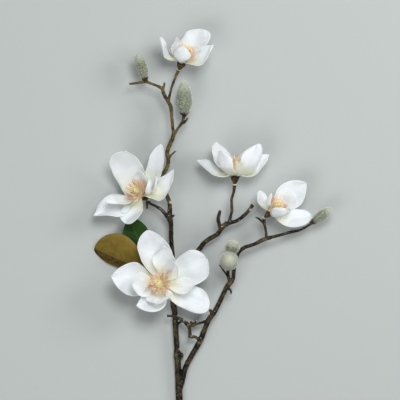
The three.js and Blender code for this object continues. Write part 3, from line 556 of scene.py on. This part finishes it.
# Each tepal has the place of its tip from the bloom's heart, its width, how far it is cupped
# across (radians each way) and how far it bows outwards along. Where it needs them it also has
# the way it leaves the axis (out), a turn about its own length, a sideways sway, an outward flick
# of its tip, a drawn-out end (point below 1) or a broad one (square), an end cut aslant (slant),
# the breadth of its claw, and how far along it is fullest.
TEPALS = {
    "bloom_1": [
        dict(tip=(-26.5, 32, 14), out=(-1, 0, -0.1), width=20, cup=0.8, bow=0.26, turn=-8, flick=0.03),
        dict(tip=(26, 43, -6), out=(0.5, 0.4, -0.8), width=33, cup=0.5, bow=0.1, sway=0.03, square=1.3,
             slant=-0.5, fullest=0.58),
        dict(tip=(-4, 20, -30.3), out=(-0.2, 0.2, -0.9), width=30, cup=0.6, bow=0.14),
        dict(tip=(18, 15, -25), out=(0.5, 0.1, -0.9), width=30, cup=0.6, bow=0.14),
        dict(tip=(-5, 32, 6), out=(-0.9, 0.1, -0.4), width=36, cup=0.7, bow=0.31, point=0.65),
        dict(tip=(40, 23, 10), out=(0.8, -0.4, -0.2), width=30, cup=0.6, bow=0.14, flick=0.02, turn=28,
             point=0.45, claw=0.5, fullest=0.42),
        dict(tip=(2, 20, 24), out=(-0.3, -0.3, 0.9), width=28, cup=1.1, bow=0.28, claw=0.5),
        dict(tip=(22, 20, 11), out=(0.9, 0.3, -0.4), width=18, cup=0.7, bow=0.14),
    ],
    "bloom_2": [
        dict(tip=(-62, -25, -4), width=36, cup=0.6, bow=0.12, flick=0.07, sway=-0.05, point=0.48,
             fullest=0.55),
        dict(tip=(22, 65, 4), width=28, cup=0.75, bow=0.08, sway=-0.06, square=0.6, point=0.9, claw=0.4,
             fullest=0.42),
        dict(tip=(-22, -34.5, 4), width=31, cup=0.6, bow=0.12, flick=0.05, square=0.8),
        dict(tip=(-24, 55.5, 20), width=46, cup=0.5, bow=0.14, sway=0.12, square=1.3, claw=0.85,
             fullest=0.42),
        dict(tip=(38, 33, 18), width=35, cup=0.8, bow=0.18, flick=0.05, sway=-0.17, point=0.55, claw=0.55,
             fullest=0.42),
        dict(tip=(-46, -8, 18), width=23, cup=0.9, bow=0.14, turn=20, point=0.6),
        dict(tip=(-4, 32, 26), out=(0.2, 0.9, 0), width=22, cup=0.8, bow=0.12, point=0.7),
        dict(tip=(17, 24, 25), out=(0.9, 0.3, 0.1), width=22, cup=0.9, bow=0.16, point=0.7),
        dict(tip=(8, 20, 29), out=(0.9, -0.4, 0.1), width=20, cup=1.0, bow=0.2, point=0.6),
    ],
    "bloom_3": [
        dict(tip=(-18.5, 67, 16), width=43, cup=0.55, bow=0.1, sway=-0.04, fullest=0.48, point=0.8,
             square=0.4, slant=0.2),
        dict(tip=(57, 31, 12), width=44, cup=0.5, bow=0.1, square=1.1),
        dict(tip=(60, -24.5, 6), width=33, cup=0.45, bow=0.1, flick=0.03, sway=-0.03, square=1.8,
             slant=-0.3, claw=0.5, fullest=0.5),
        dict(tip=(-63, 10, 12), width=45, cup=0.6, bow=0.12, flick=0.05, point=0.62, fullest=0.55),
        dict(tip=(-32, -27, 14), width=39, cup=0.8, bow=0.1, turn=-15, flick=0.04, sway=0.15, point=0.5,
             claw=0.6, fullest=0.42),
        dict(tip=(3, 47.5, 29), out=(0.2, 1, 0), width=35, cup=0.8, bow=0.12, sway=-0.05, point=0.8),
        dict(tip=(42, 1, 23), width=24, cup=0.9, bow=0.14, sway=-0.06, slant=0.2),
        dict(tip=(18, 27, 32), width=26, cup=0.8, bow=0.16, point=0.8),
        dict(tip=(-36, -1, 27), width=34, cup=0.8, bow=0.16, square=0.3),
        dict(tip=(-5, -24, 25), out=(0.1, -1, 0.2), width=40, cup=0.9, bow=0.2),
    ],
    "bloom_4": [
        dict(tip=(-48, 20.5, -6), out=(-1, -0.1, -0.2), width=22, cup=0.6, bow=0.12, flick=0.06, turn=-22,
             point=0.55, claw=0.5),
        dict(tip=(43, 28, -4), out=(1, -0.1, -0.3), width=25, cup=0.7, bow=0.16, flick=0.07, turn=22,
             point=0.5, claw=0.5),
        dict(tip=(0, 15, -30.6), out=(0, 0.2, -1), width=38, cup=0.6, bow=0.14, claw=0.5),
        dict(tip=(-23, 43, -5), out=(-0.8, 0.1, -0.6), width=38, cup=0.8, bow=0.2, sway=0.05, point=0.9,
             square=1.0, slant=0.3),
        dict(tip=(20, 33, -6), out=(0.8, 0.1, -0.5), width=30, cup=0.8, bow=0.16),
        dict(tip=(-19, 32, 17), out=(-0.8, -0.3, 0.6), width=34, cup=0.85, bow=0.2, square=0.2, claw=0.6),
        dict(tip=(29, 41.5, 8), out=(0.6, -0.3, 0.7), width=46, cup=0.8, bow=0.22, sway=0.06, claw=0.65,
             point=0.85, square=0.4, slant=0.2),
        dict(tip=(0, 16, -18), out=(0, 0.2, -1), width=26, cup=0.8, bow=0.16),
    ],
    "bloom_5": [
        dict(tip=(-11.5, 28.5, 0), out=(-0.8, 0.2, -0.2), width=27, cup=0.9, bow=0.22, turn=-30, claw=0.5),
        dict(tip=(46.5, 38, -2), out=(0.6, 0.5, -0.6), width=36, cup=0.5, bow=0.1, sway=0.01, point=0.7,
             fullest=0.54),
        dict(tip=(13.5, 9.5, -30.4), out=(0.2, 0.2, -1), width=32, cup=0.6, bow=0.1),
        dict(tip=(52.5, -2, 5), out=(0.5, -0.5, -0.7), width=27, cup=0.6, bow=0.1, flick=0.02, sway=-0.13,
             square=0.3),
        dict(tip=(3, 25.5, 12), out=(-0.8, 0.3, 0.2), width=24, cup=0.9, bow=0.18, turn=-10, square=0.3),
        dict(tip=(22, 5, 26), out=(-0.1, -0.9, 0.4), width=27, cup=1.05, bow=0.22),
        dict(tip=(33, 23, 2), out=(0.7, 0.5, -0.6), width=26, cup=0.7, bow=0.14),
        dict(tip=(27, 3, 14), out=(0.7, -0.6, -0.3), width=19, cup=0.9, bow=0.16),
    ],
}


def square_to(direction, axis):
    """The part of a direction that is square to an axis, at unit length."""
    return (direction - axis * direction.dot(axis)).normalized()


def give_wall(blade, thickness, group="", share=0):
    """Gives a sheet its thickness, half on each side, and only a share of it outside the group."""
    wall = blade.modifiers.new("wall", "SOLIDIFY")
    wall.thickness = thickness
    wall.offset = 0
    wall.vertex_group = group
    wall.thickness_vertex_group = share
    bpy.ops.object.modifier_apply(modifier="wall")
    blade.vertex_groups.clear()
    close_seams(blade, 2e-6)


def tepal_breadth(t, point=1, square=0, claw=0.22, fullest=0.62):
    """A tepal's breadth along it, 1 where it is fullest: a narrow claw, then a rounded end."""
    if t < fullest:
        return claw + (1 - claw) * sin(t / fullest * pi / 2) ** 1.25
    rest = (t - fullest) / (1 - fullest)
    return max(1 - rest ** (2 + 1.6 * square), 0) ** (0.55 / point)


def tepal_blade(
    name, heart, axis, draw, tip, width, cup, bow, out=None, turn=0, sway=0, flick=0, slant=0, **outline
):
    """One tepal: a grid bent to the blade's middle sheet, then given its thickness."""
    tip = Vector(tip)
    out = square_to(Vector(out) if out else tip, axis)
    foot = axis * CLAW_RISE + out * CLAW_INSET
    chord = tip - foot
    forward = chord.normalized()
    outward = square_to(out - axis * 0.4, forward)
    sideways = forward.cross(outward).normalized()
    waves = [draw.uniform(0, 2 * pi) for _ in range(4)]
    ripple = RIPPLE_HEIGHT * width * draw.uniform(0.6, 1.2)
    dents = Vector((draw.uniform(0, 50), draw.uniform(0, 50), 0))

    def spine(t):
        """The blade's middle line: bowed, flicked and swayed."""
        hump = 4 * t * (1 - t)
        bulge = bow * hump * (1.25 - 0.5 * t) + flick * sin(2 * pi * t)
        shift = outward * bulge + sideways * sway * hump
        return heart + foot + chord * t + shift * chord.length

    def corner(u, v):
        """The blade's middle sheet: cupped, with waved rims, shallow dents and a furrow."""
        t = 1 - (1 - v) ** ROWS_TO_TIP
        s = 2 * u - 1
        tangent = (spine(t + 0.01) - spine(t - 0.01)).normalized()
        across = square_to(sideways, tangent)
        inward = across.cross(tangent)
        if inward.dot(outward) > 0:
            inward.negate()
        half = 0.5 * width * max(tepal_breadth(t, **outline), 0.001)
        drift = 0.045 * sin(5 * t + waves[0]) + 0.02 * sin(14 * t + waves[3])
        half *= 1 + drift * (1 if s > 0 else -1) * t
        bend = cup * (1.25 - 0.5 * t)
        reach = half / bend * sin(bend * s)
        lift = half / bend * (1 - cos(bend * s))
        margin = abs(s) ** 3 * min(4 * t, 1) * min(6 * (1 - t), 1)
        wave = sin(9 * t + waves[1]) if s > 0 else sin(8 * t + waves[2])
        lift += ripple * margin * (wave + 0.4 * sin(21 * t + waves[3] * s))
        lift += DENT_DEPTH * width * noise.noise(dents + Vector((1.3 * s, 2.6 * t, 0))) * min(3 * t, 1)
        lift += FURROW_DEPTH * (1 - exp(-((s / FURROW_WIDTH) ** 2))) * (1 - t)
        turned = radians(turn) * min(1, 2 * t)
        side = reach * cos(turned) - lift * sin(turned)
        rise = reach * sin(turned) + lift * cos(turned)
        return spine(t) + tangent * slant * reach * t * t + across * side + inward * rise

    blade = grown_sheet(name, TEPAL_COLUMNS, TEPAL_ROWS, corner)
    rim = blade.vertex_groups.new(name="away_from_rim")
    for index in range(len(blade.data.vertices)):
        s = 2 * (index % (TEPAL_COLUMNS + 1)) / TEPAL_COLUMNS - 1
        rim.add([index], 1 - 0.9 * abs(s) ** 4, "REPLACE")
    give_wall(blade, TEPAL_THICKNESS, "away_from_rim", RIM_THICKNESS_SHARE)
    keep_above_table(blade)
    return blade


def maths(tree, operation, *values):
    """The outcome of an operation on sockets and plain values."""
    return add_node(tree, "ShaderNodeMath", dict(enumerate(values)), operation=operation).outputs[0]


white_tepal, tree, shader, clouds = grown_material("white_tepal", (55, 0.3, 0.7), (700, 0.08, 0.0003))
own_uv = add_node(tree, "ShaderNodeUVMap", uv_map="UVMap").outputs["UV"]
across, length, _ = add_node(tree, "ShaderNodeSeparateXYZ", {"Vector": own_uv}).outputs
# Fine veins run from the claw to the tip, and stray a little. The foot is cream-green, and the
# rim and the tip get a painted highlight.
stray = maths(tree, "MULTIPLY_ADD", clouds, 0.02, across)
slow = maths(tree, "MULTIPLY", length, 0.06)
fan = add_node(tree, "ShaderNodeCombineXYZ", {"X": stray, "Y": slow}).outputs["Vector"]
veins = noise_value(tree, fan, 34, 3, 0.5)
skin_normal = shader.inputs["Normal"].links[0].from_socket
ribs = {"Height": veins, "Strength": 0.4, "Distance": 0.0007, "Normal": skin_normal}
ribbed = add_node(tree, "ShaderNodeBump", ribs).outputs["Normal"]
white = mix_colours(tree, clouds, (0.76, 0.80, 0.82, 1), (0.85, 0.88, 0.895, 1))
veined = mix_colours(tree, ramp(tree, veins, 0.45, 0.75), white, (0.77, 0.80, 0.81, 1))
cream_green = (0.80, 0.79, 0.52, 1)
# A painted highlight: the rim and the tip are lighter than the rest of the blade.
painted_rim_highlight = (0.97, 0.98, 0.985, 1)
from_middle = maths(tree, "ABSOLUTE", maths(tree, "SUBTRACT", across, 0.5))
colour = lay_over(
    tree, cream_green,
    (ramp(tree, length, 0.0, 0.5), veined),
    (ramp(tree, from_middle, 0.455, 0.5), painted_rim_highlight),
    (ramp(tree, length, 0.93, 1.0), painted_rim_highlight),
)
set_inputs(shader, {
    "Base Color": colour, "Normal": ribbed, "Roughness": 0.5, "Specular IOR Level": 0.3,
    "Subsurface Weight": 0.5, "Subsurface Radius": (0.006, 0.0054, 0.0046), "Subsurface Scale": 1.0,
})

blooms = {}
for name, (heart, axis) in hearts.items():
    draw = Random(name)
    blades = [
        tepal_blade(f"{name}_blade_{i}", heart, axis, draw, **tepal) for i, tepal in enumerate(TEPALS[name])
    ]
    bloom = join_pieces(f"{name}_tepal_whorl", blades)
    give_finish(bloom, white_tepal)
    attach(bloom, "root")
    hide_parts(f"{name}_tepals")
    blooms[name] = bloom

# -------- stamens
# A ring of flat, fleshy stamens stands round the middle of each bloom on a short column. They are
# cream at the foot and coral pink towards the tip. The inner ones are paler, and so is one in
# three of the others. One that would meet a tepal leans inwards.
STAMEN_COUNT = 130
STAMEN_LENGTH = 16.4
STAMEN_WIDTH = 0.52
STAMEN_FLATNESS = 0.5
STAMEN_ROWS = (7.2, 10.6)
STAMEN_INSETS = (2.8, 3.9)
STAMEN_LEANS = (66, 20)
# The shares of its lean that a stamen tries, and the free room that it looks for at its tip.
LEAN_SHARES = (1, 0.85, 0.7, 0.55, 0.4, 0.25)
FREE_TIP = 1.5
STRAP_RINGS = 8
COLUMN = [(5.0, 3.2), (6.0, 4.3), (9.0, 5.0), (11.0, 4.2)]
GOLDEN_ANGLE = pi * (3 - sqrt(5))


def between(ends, share):
    """Part way from the first of two ends to the second."""
    return ends[0] + (ends[1] - ends[0]) * share


def strap_blank():
    """A slim six-sided rod of unit size along z, with rings to bend it at."""
    bpy.ops.mesh.primitive_cylinder_add(vertices=6, radius=1, depth=1, location=(0, 0, 0.5))
    blank = bpy.context.object
    bpy.ops.object.transform_apply(location=True)
    bpy.ops.object.mode_set(mode="EDIT")
    for ring in range(1, STRAP_RINGS):
        bpy.ops.mesh.select_all(action="SELECT")
        bpy.ops.mesh.bisect(plane_co=(0, 0, ring / STRAP_RINGS), plane_no=(0, 0, 1))
    bpy.ops.object.mode_set(mode="OBJECT")
    close_seams(blank)
    point_colours(blank, "reach")
    return blank


def bent_strap(name, root, direction, side, length, width, flatness, curl, tint, freckle=0):
    """A copy of the blank, bent from its root towards the way that curl points."""
    mesh = blank.data.copy()
    piece = bpy.data.objects.new(name, mesh)
    scene.collection.objects.link(piece)
    flat = direction.cross(side).normalized()
    reach = mesh.color_attributes["reach"]
    for vertex in mesh.vertices:
        x, y, t = vertex.co
        swell = width * (0.75 + 0.5 * sin(pi * min(t, 0.9)) ** 2) * (1 if t < 0.95 else 0.35)
        middle = root + direction * length * t + curl * length * t * t
        reach.data[vertex.index].color = (t, tint, freckle * t, 1)
        vertex.co = on_plan(middle + side * x * swell + flat * y * swell * flatness)
    return piece


def whorl_core(name, heart, axis, profile, tint):
    """The closed core that straps stand on: how far above the heart, and the radius there."""
    core = limb_tube(name, [(*(heart + axis * rise), radius) for rise, radius in profile])
    point_colours(core, "reach", (0, tint, 0, 1))
    return core


def whorl_material(name, foot, tip, pale, freckle):
    """Fleshy floral parts, foot colour to tip colour along each, some paler, some freckled."""
    finish, tree, shader, patches = grown_material(name, (800, 0.6, 0.9), (1500, 0.4, 0.0003))
    along, paler, freckled = attribute_parts(tree, "reach")
    tipped = ramp(tree, along, 0.4, 0.95)
    colour = lay_over(tree, foot, (tipped, tip), (paler, pale), (freckled, freckle), (patches, freckle))
    set_inputs(shader, {
        "Base Color": colour, "Roughness": 0.6,
        "Subsurface Weight": 0.25, "Subsurface Radius": (0.002, 0.0012, 0.0008),
    })
    return finish


blank = strap_blank()
coral_stamen = whorl_material(
    "coral_stamen",
    foot=(0.92, 0.80, 0.56, 1), tip=(0.92, 0.53, 0.40, 1),
    pale=(0.96, 0.88, 0.69, 1), freckle=(0.60, 0.24, 0.11, 1),
)
for name, (heart, axis) in hearts.items():
    draw = Random(name + " stamens")
    walls = bvhtree.BVHTree.FromObject(blooms[name], bpy.context.evaluated_depsgraph_get())
    parts = [whorl_core(f"{name}_column", heart, axis, COLUMN, 0.3)]
    for i in range(STAMEN_COUNT):
        share = (i + 0.5) / STAMEN_COUNT
        away = way_out(axis, i * GOLDEN_ANGLE)
        root = heart + axis * between(STAMEN_ROWS, share) + away * between(STAMEN_INSETS, share)
        length = STAMEN_LENGTH * draw.uniform(0.82, 1.0)
        lean = between(STAMEN_LEANS, share) + draw.uniform(-6, 6)
        for lean_share in LEAN_SHARES:
            tilt = radians(lean * lean_share)
            direction = axis * cos(tilt) + away * sin(tilt)
            if walls.ray_cast(on_plan(root), direction, (length + FREE_TIP) * MM)[0] is None:
                break
        side = axis.cross(away)
        curl = (axis * 0.1 - away * 0.06) * draw.uniform(0.2, 1.4) + side * draw.uniform(-0.12, 0.12)
        tint = min(max(share - 0.2, 0) * 1.5 * draw.uniform(0.5, 1.1) + draw.choice((0, 0, 0.5)), 1)
        freckle = draw.choice((0, 0, 0.4, 0.9))
        strap = (root, direction, side, length, STAMEN_WIDTH, STAMEN_FLATNESS, curl, tint, freckle)
        parts.append(bent_strap(f"{name}_stamen_{i}", *strap))
    ring = join_pieces(f"{name}_stamen_ring", parts)
    give_finish(ring, coral_stamen)
    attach(ring, "root")
    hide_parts(f"{name}_stamens")

# -------- pistils
# The cone of pistils in the middle of each bloom is pale yellow-green, and each pistil ends in a
# short stigma that hooks outwards.
CONE = [(11.4, 2.6), (13.0, 3.6), (15.5, 4.0), (18.5, 3.2), (21.4, 1.9), (22.6, 0.8)]
STIGMA_COUNT = 44
STIGMA_LENGTH = 4.0
STIGMA_WIDTH = 0.42
STIGMA_FLATNESS = 0.9
STIGMA_ROWS = (13.2, 21.8)
STIGMA_LEANS = (60, 12)
STIGMA_ROOTS = 3.4

yellow_pistil = whorl_material(
    "yellow_pistil",
    foot=(0.74, 0.66, 0.30, 1), tip=(0.92, 0.80, 0.50, 1),
    pale=(0.84, 0.77, 0.44, 1), freckle=(0.60, 0.40, 0.16, 1),
)
for name, (heart, axis) in hearts.items():
    draw = Random(name + " pistils")
    parts = [whorl_core(f"{name}_cone", heart, axis, CONE, 0.2)]
    for i in range(STIGMA_COUNT):
        share = (i + 0.5) / STIGMA_COUNT
        away = way_out(axis, i * GOLDEN_ANGLE)
        rise = between(STIGMA_ROWS, share)
        radius = STIGMA_ROOTS * sqrt(max(1 - (share * 0.94) ** 2, 0))
        tilt = radians(between(STIGMA_LEANS, share))
        direction = axis * cos(tilt) + away * sin(tilt)
        curl = (away * 0.5 - axis * 0.25) * draw.uniform(0.5, 1.1)
        root = heart + axis * rise + away * radius
        side = axis.cross(away)
        length = STIGMA_LENGTH * draw.uniform(0.8, 1.1)
        strap = (root, direction, side, length, STIGMA_WIDTH, STIGMA_FLATNESS, curl, 0)
        parts.append(bent_strap(f"{name}_stigma_{i}", *strap))
    pistils = join_pieces(f"{name}_pistil_cone", parts)
    give_finish(pistils, yellow_pistil)
    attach(pistils, "root")
    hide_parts(f"{name}_pistils")
bpy.data.objects.remove(blank)

# -------- flower buds
# Five closed buds, each a pointed egg of overlapping scales under a coat of silky grey-green fur.
# The fur is thousands of fine hairs that lie towards the tip and stand a little off the skin. The
# sizes of the buds stand with the wood, which holds their feet in its scales.
BUD_SIDES = 48
BUD_ROWS = 48
HAIRS_PER_MM2 = 1.7
HAIR_LENGTH = 2.3
HAIR_RADIUS = 0.085
HAIR_SIDES = 3
HAIR_SPAN = (0.01, 0.985)
HAIR_LIFTS = (0.25, 0.6)
# The bud's tip is cream from this far along it, more so on the ends of the hairs.
TIP_START = 0.6
SKIN_TIP_TINT = 1.1
HAIR_TIP_TINT = 1.6


def bud_place(start, chord, radius, fullest, fullness, u, v):
    """A point of a bud's skin: u round it, v along it."""
    axis = chord.normalized()
    away = way_out(axis, 2 * pi * u)
    girth = bud_radius(v, radius, fullest, fullness)
    seams = 0.028 * girth * abs(cos(1.5 * 2 * pi * u + 1.2 * v))
    lumps = 0.02 * girth * noise.noise((start + away * girth + chord * v) * 0.18)
    return start + chord * v + away * (girth - seams + lumps)


silky_fur, tree, shader, mottle = grown_material("silky_fur", (420, 0.3, 0.7), (1300, 0.5, 0.0003))
hairy, creamy, _ = attribute_parts(tree, "coat")
skin = mix_colours(tree, mottle, (0.075, 0.09, 0.05, 1), (0.22, 0.25, 0.165, 1))
hair = mix_colours(tree, mottle, (0.74, 0.78, 0.68, 1), (0.95, 0.97, 0.92, 1))
# Low coat values at the hair roots bring in the dark skin colour: a painted shade.
colour = lay_over(tree, skin, (hairy, hair), (creamy, (0.80, 0.82, 0.66, 1)))
set_inputs(shader, {
    "Base Color": colour, "Roughness": 0.85, "Specular IOR Level": 0.2,
    "Sheen Weight": 1.0, "Sheen Roughness": 0.45,
})

for name, (foot, tip, radius, fullest, fullness) in BUDS.items():
    draw = Random(name)
    start, chord = Vector(foot), Vector(tip) - Vector(foot)
    shape = (start, chord, radius, fullest, fullness)
    axis = chord.normalized()
    body = grown_sheet(
        f"{name}_body", BUD_SIDES, BUD_ROWS, lambda u, v: bud_place(*shape, u, 1 - (1 - v) ** 1.2)
    )
    close_seams(body)
    coat = point_colours(body, "coat")
    for vertex in body.data.vertices:
        t = (vertex.co - on_plan(foot)).dot(axis) / (chord.length * MM)
        coat[vertex.index].color = (0, max(t - TIP_START, 0) * SKIN_TIP_TINT, 0, 1)
    skin_area = 2 * pi * radius * chord.length * 0.75
    corners, faces, shades = [], [], []
    for _ in range(round(skin_area * HAIRS_PER_MM2)):
        v = draw.uniform(*HAIR_SPAN)
        if draw.random() > bud_radius(v, radius, fullest, fullness) / radius + 0.1:
            continue
        u = draw.random()
        root = bud_place(*shape, u, v)
        ahead = bud_place(*shape, u, v + 0.01)
        beside = bud_place(*shape, u + 0.01, v)
        lie = (ahead - root).normalized()
        side = (beside - root).normalized()
        off = side.cross(lie)
        lift = draw.uniform(*HAIR_LIFTS)
        way = (lie + off * lift + side * draw.uniform(-0.35, 0.35)).normalized()
        length = HAIR_LENGTH * draw.uniform(0.6, 1.1)
        first = len(corners)
        end = first + HAIR_SIDES
        for k in range(HAIR_SIDES):
            turn = k * 2 * pi / HAIR_SIDES
            spoke = side * cos(turn) + off * sin(turn)
            corners.append(on_plan(root - off * 0.1 + spoke * HAIR_RADIUS))
            faces.append((first + k, first + (k + 1) % HAIR_SIDES, end))
        corners.append(on_plan(root + way * length))
        faces.append(tuple(range(end - 1, first - 1, -1)))
        # Hairs are light or dark in clumps. Their roots are painted darker, a painted shade among the
        # hairs, and their ends lighter, which paints a pale lit rim round the bud.
        clump = noise.noise(root * 0.6)
        shade = min(max(draw.uniform(0.6, 1.0) + (2.1 - v) * (clump - 0.03), 0), 1)
        cream = max(v - TIP_START, 0)
        shades += [(shade * 0.5, cream * SKIN_TIP_TINT, 0, 1)] * HAIR_SIDES
        shades.append((min(shade * 1.2, 1), cream * HAIR_TIP_TINT, 0, 1))
    hairs = bpy.data.objects.new(f"{name}_hairs", bpy.data.meshes.new(f"{name}_hairs"))
    hairs.data.from_pydata(corners, [], faces)
    for value, shade in zip(point_colours(hairs, "coat"), shades):
        value.color = shade
    scene.collection.objects.link(hairs)
    furry = join_pieces(f"{name}_furry", [body, hairs])
    give_finish(furry, silky_fur)
    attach(furry, "root")
    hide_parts(name)

# -------- leaves
# Two leathery leaves on short stalks behind the large bloom. One is turned over and shows its
# bronze, felted underside, and the other shows its dark green upper side. Both have a midrib that
# stands out below and a score of side veins.
LEAVES = {
    "bronze_leaf": dict(
        petiole=[(-43, -108, 15), (-55, -98, 17), (-67, -88, 17)], tip=(-133, -60.5, 1.4),
        width=47, lean=0.4, cup=0.4, bow=0.03, turn=23, up=-1, bluntness=0.48,
    ),
    "green_leaf": dict(
        petiole=[(-37, -106, 12.5), (-44, -102, 12), (-54, -94, 11.5), (-66, -80, 10)], tip=(-88, -23, 7),
        width=38, lean=0, cup=0.3, bow=0.05, turn=11, up=1, bluntness=0.62,
    ),
}
LEAF_COLUMNS = 48
LEAF_ROWS = 96
LEAF_THICKNESS = 0.0007
PETIOLE_RADIUS = 1.3
PETIOLE_REACH = 0.14
SIDE_VEINS = 9


def leaf_breadth(t, bluntness):
    """Half the width along a leaf: narrow at the petiole, broad past the middle, a blunt end."""
    return max(sin(pi * t**1.15), 0) ** (0.62 if t < 0.5 else bluntness) * (0.82 + 0.18 * t)


def leaf_vein(t, s):
    """How near a point of the blade is to the midrib or to a side vein, 1 on it."""
    midrib = exp(-((s / (0.05 - 0.03 * t)) ** 2))
    phase = (t - 0.2 * abs(s) ** 1.3) * SIDE_VEINS
    off = abs(phase - round(phase)) / SIDE_VEINS
    side = exp(-((off / 0.007) ** 2)) * (1 - abs(s)) ** 0.5 if 0.04 < t < 0.95 else 0
    return max(midrib * (1 - 0.6 * t), 0.3 * side)


def leaf_blade(name, petiole, tip, width, lean, cup, bow, turn, up, bluntness):
    """The blade as a bent grid with raised veins, on a petiole that runs on as its midrib."""
    foot = Vector(petiole[-1])
    chord = Vector(tip) - foot
    forward = chord.normalized()
    sideways = forward.cross(Vector((0, 0, 1))).normalized()
    upward = sideways.cross(forward).normalized()
    turned = radians(turn)

    def corner(u, v):
        t = 0.006 + 0.99 * v
        s = 2 * u - 1
        half = 0.5 * width * leaf_breadth(t, bluntness)
        spread = s * (1 + lean * s)
        reach = half / cup * sin(cup * spread)
        lift = up * half / cup * (1 - cos(cup * spread))
        lift += 0.5 * sin(13 * t + 2 * s) * abs(s) ** 2 - up * 0.22 * leaf_vein(t, s)
        point = foot + chord * t + upward * bow * chord.length * 4 * t * (1 - t)
        point += sideways * (reach * cos(turned) - lift * sin(turned))
        return point + upward * (reach * sin(turned) + lift * cos(turned))

    blade = grown_sheet(name, LEAF_COLUMNS, LEAF_ROWS, corner)
    for index, value in enumerate(point_colours(blade, "veins")):
        row, column = divmod(index, LEAF_COLUMNS + 1)
        t, s = row / LEAF_ROWS, 2 * column / LEAF_COLUMNS - 1
        # The third channel tells the two halves of the blade apart, for their painted light and shade.
        value.color = (leaf_vein(t, s), abs(s) ** 6, 0.5 + 0.5 * s, 1)
    give_wall(blade, LEAF_THICKNESS)
    inside = foot.lerp(Vector(tip), PETIOLE_REACH)
    stalk = [(*point, PETIOLE_RADIUS) for point in petiole] + [(*inside, PETIOLE_RADIUS * 0.4)]
    petiole_tube = limb_tube(f"{name}_petiole", stalk)
    point_colours(petiole_tube, "veins", (1, 0, 0.5, 1))
    leaf = join_pieces(f"{name}_blade", [blade, petiole_tube])
    keep_above_table(leaf)
    return leaf


def leaf_finish(name, light, dark, vein, rim, roughness):
    """Leaf skin with a painted lit half and a painted shaded half, mottled between two colours, with its
    own vein and rim colours.
    """
    finish, tree, shader, mottle = grown_material(name, (150, 0.3, 0.7), (1400, 0.35, 0.0003))
    veined, rimmed, side = attribute_parts(tree, "veins")
    # Painted light and shade: the half on one side of the midrib takes the light colour, the other the dark
    # one.
    painted_lit_half = ramp(tree, side, 0.42, 0.58)
    mottled = mix_colours(tree, mottle, (*(0.8 * c for c in dark[:3]), 1), light)
    colour = lay_over(tree, dark, (painted_lit_half, light), (0.35, mottled), (veined, vein), (rimmed, rim))
    set_inputs(shader, {"Base Color": colour, "Roughness": roughness, "Specular IOR Level": 0.12})
    return finish


bronze = leaf_finish(
    "bronze_leaf_skin",
    light=(0.165, 0.114, 0.015, 1), dark=(0.028, 0.017, 0.004, 1),
    vein=(0.20, 0.115, 0.04, 1), rim=(0.19, 0.13, 0.03, 1), roughness=0.6,
)
green = leaf_finish(
    "green_leaf_skin",
    light=(0.014, 0.048, 0.004, 1), dark=(0.008, 0.030, 0.003, 1),
    vein=(0.042, 0.095, 0.014, 1), rim=(0.02, 0.065, 0.01, 1), roughness=0.5,
)
for name, finish, slot in (("bronze_leaf", bronze, "leaf_bronze"), ("green_leaf", green, "leaf_green")):
    leaf = leaf_blade(name, **LEAVES[name])
    give_finish(leaf, finish)
    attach(leaf, "root")
    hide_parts(name)
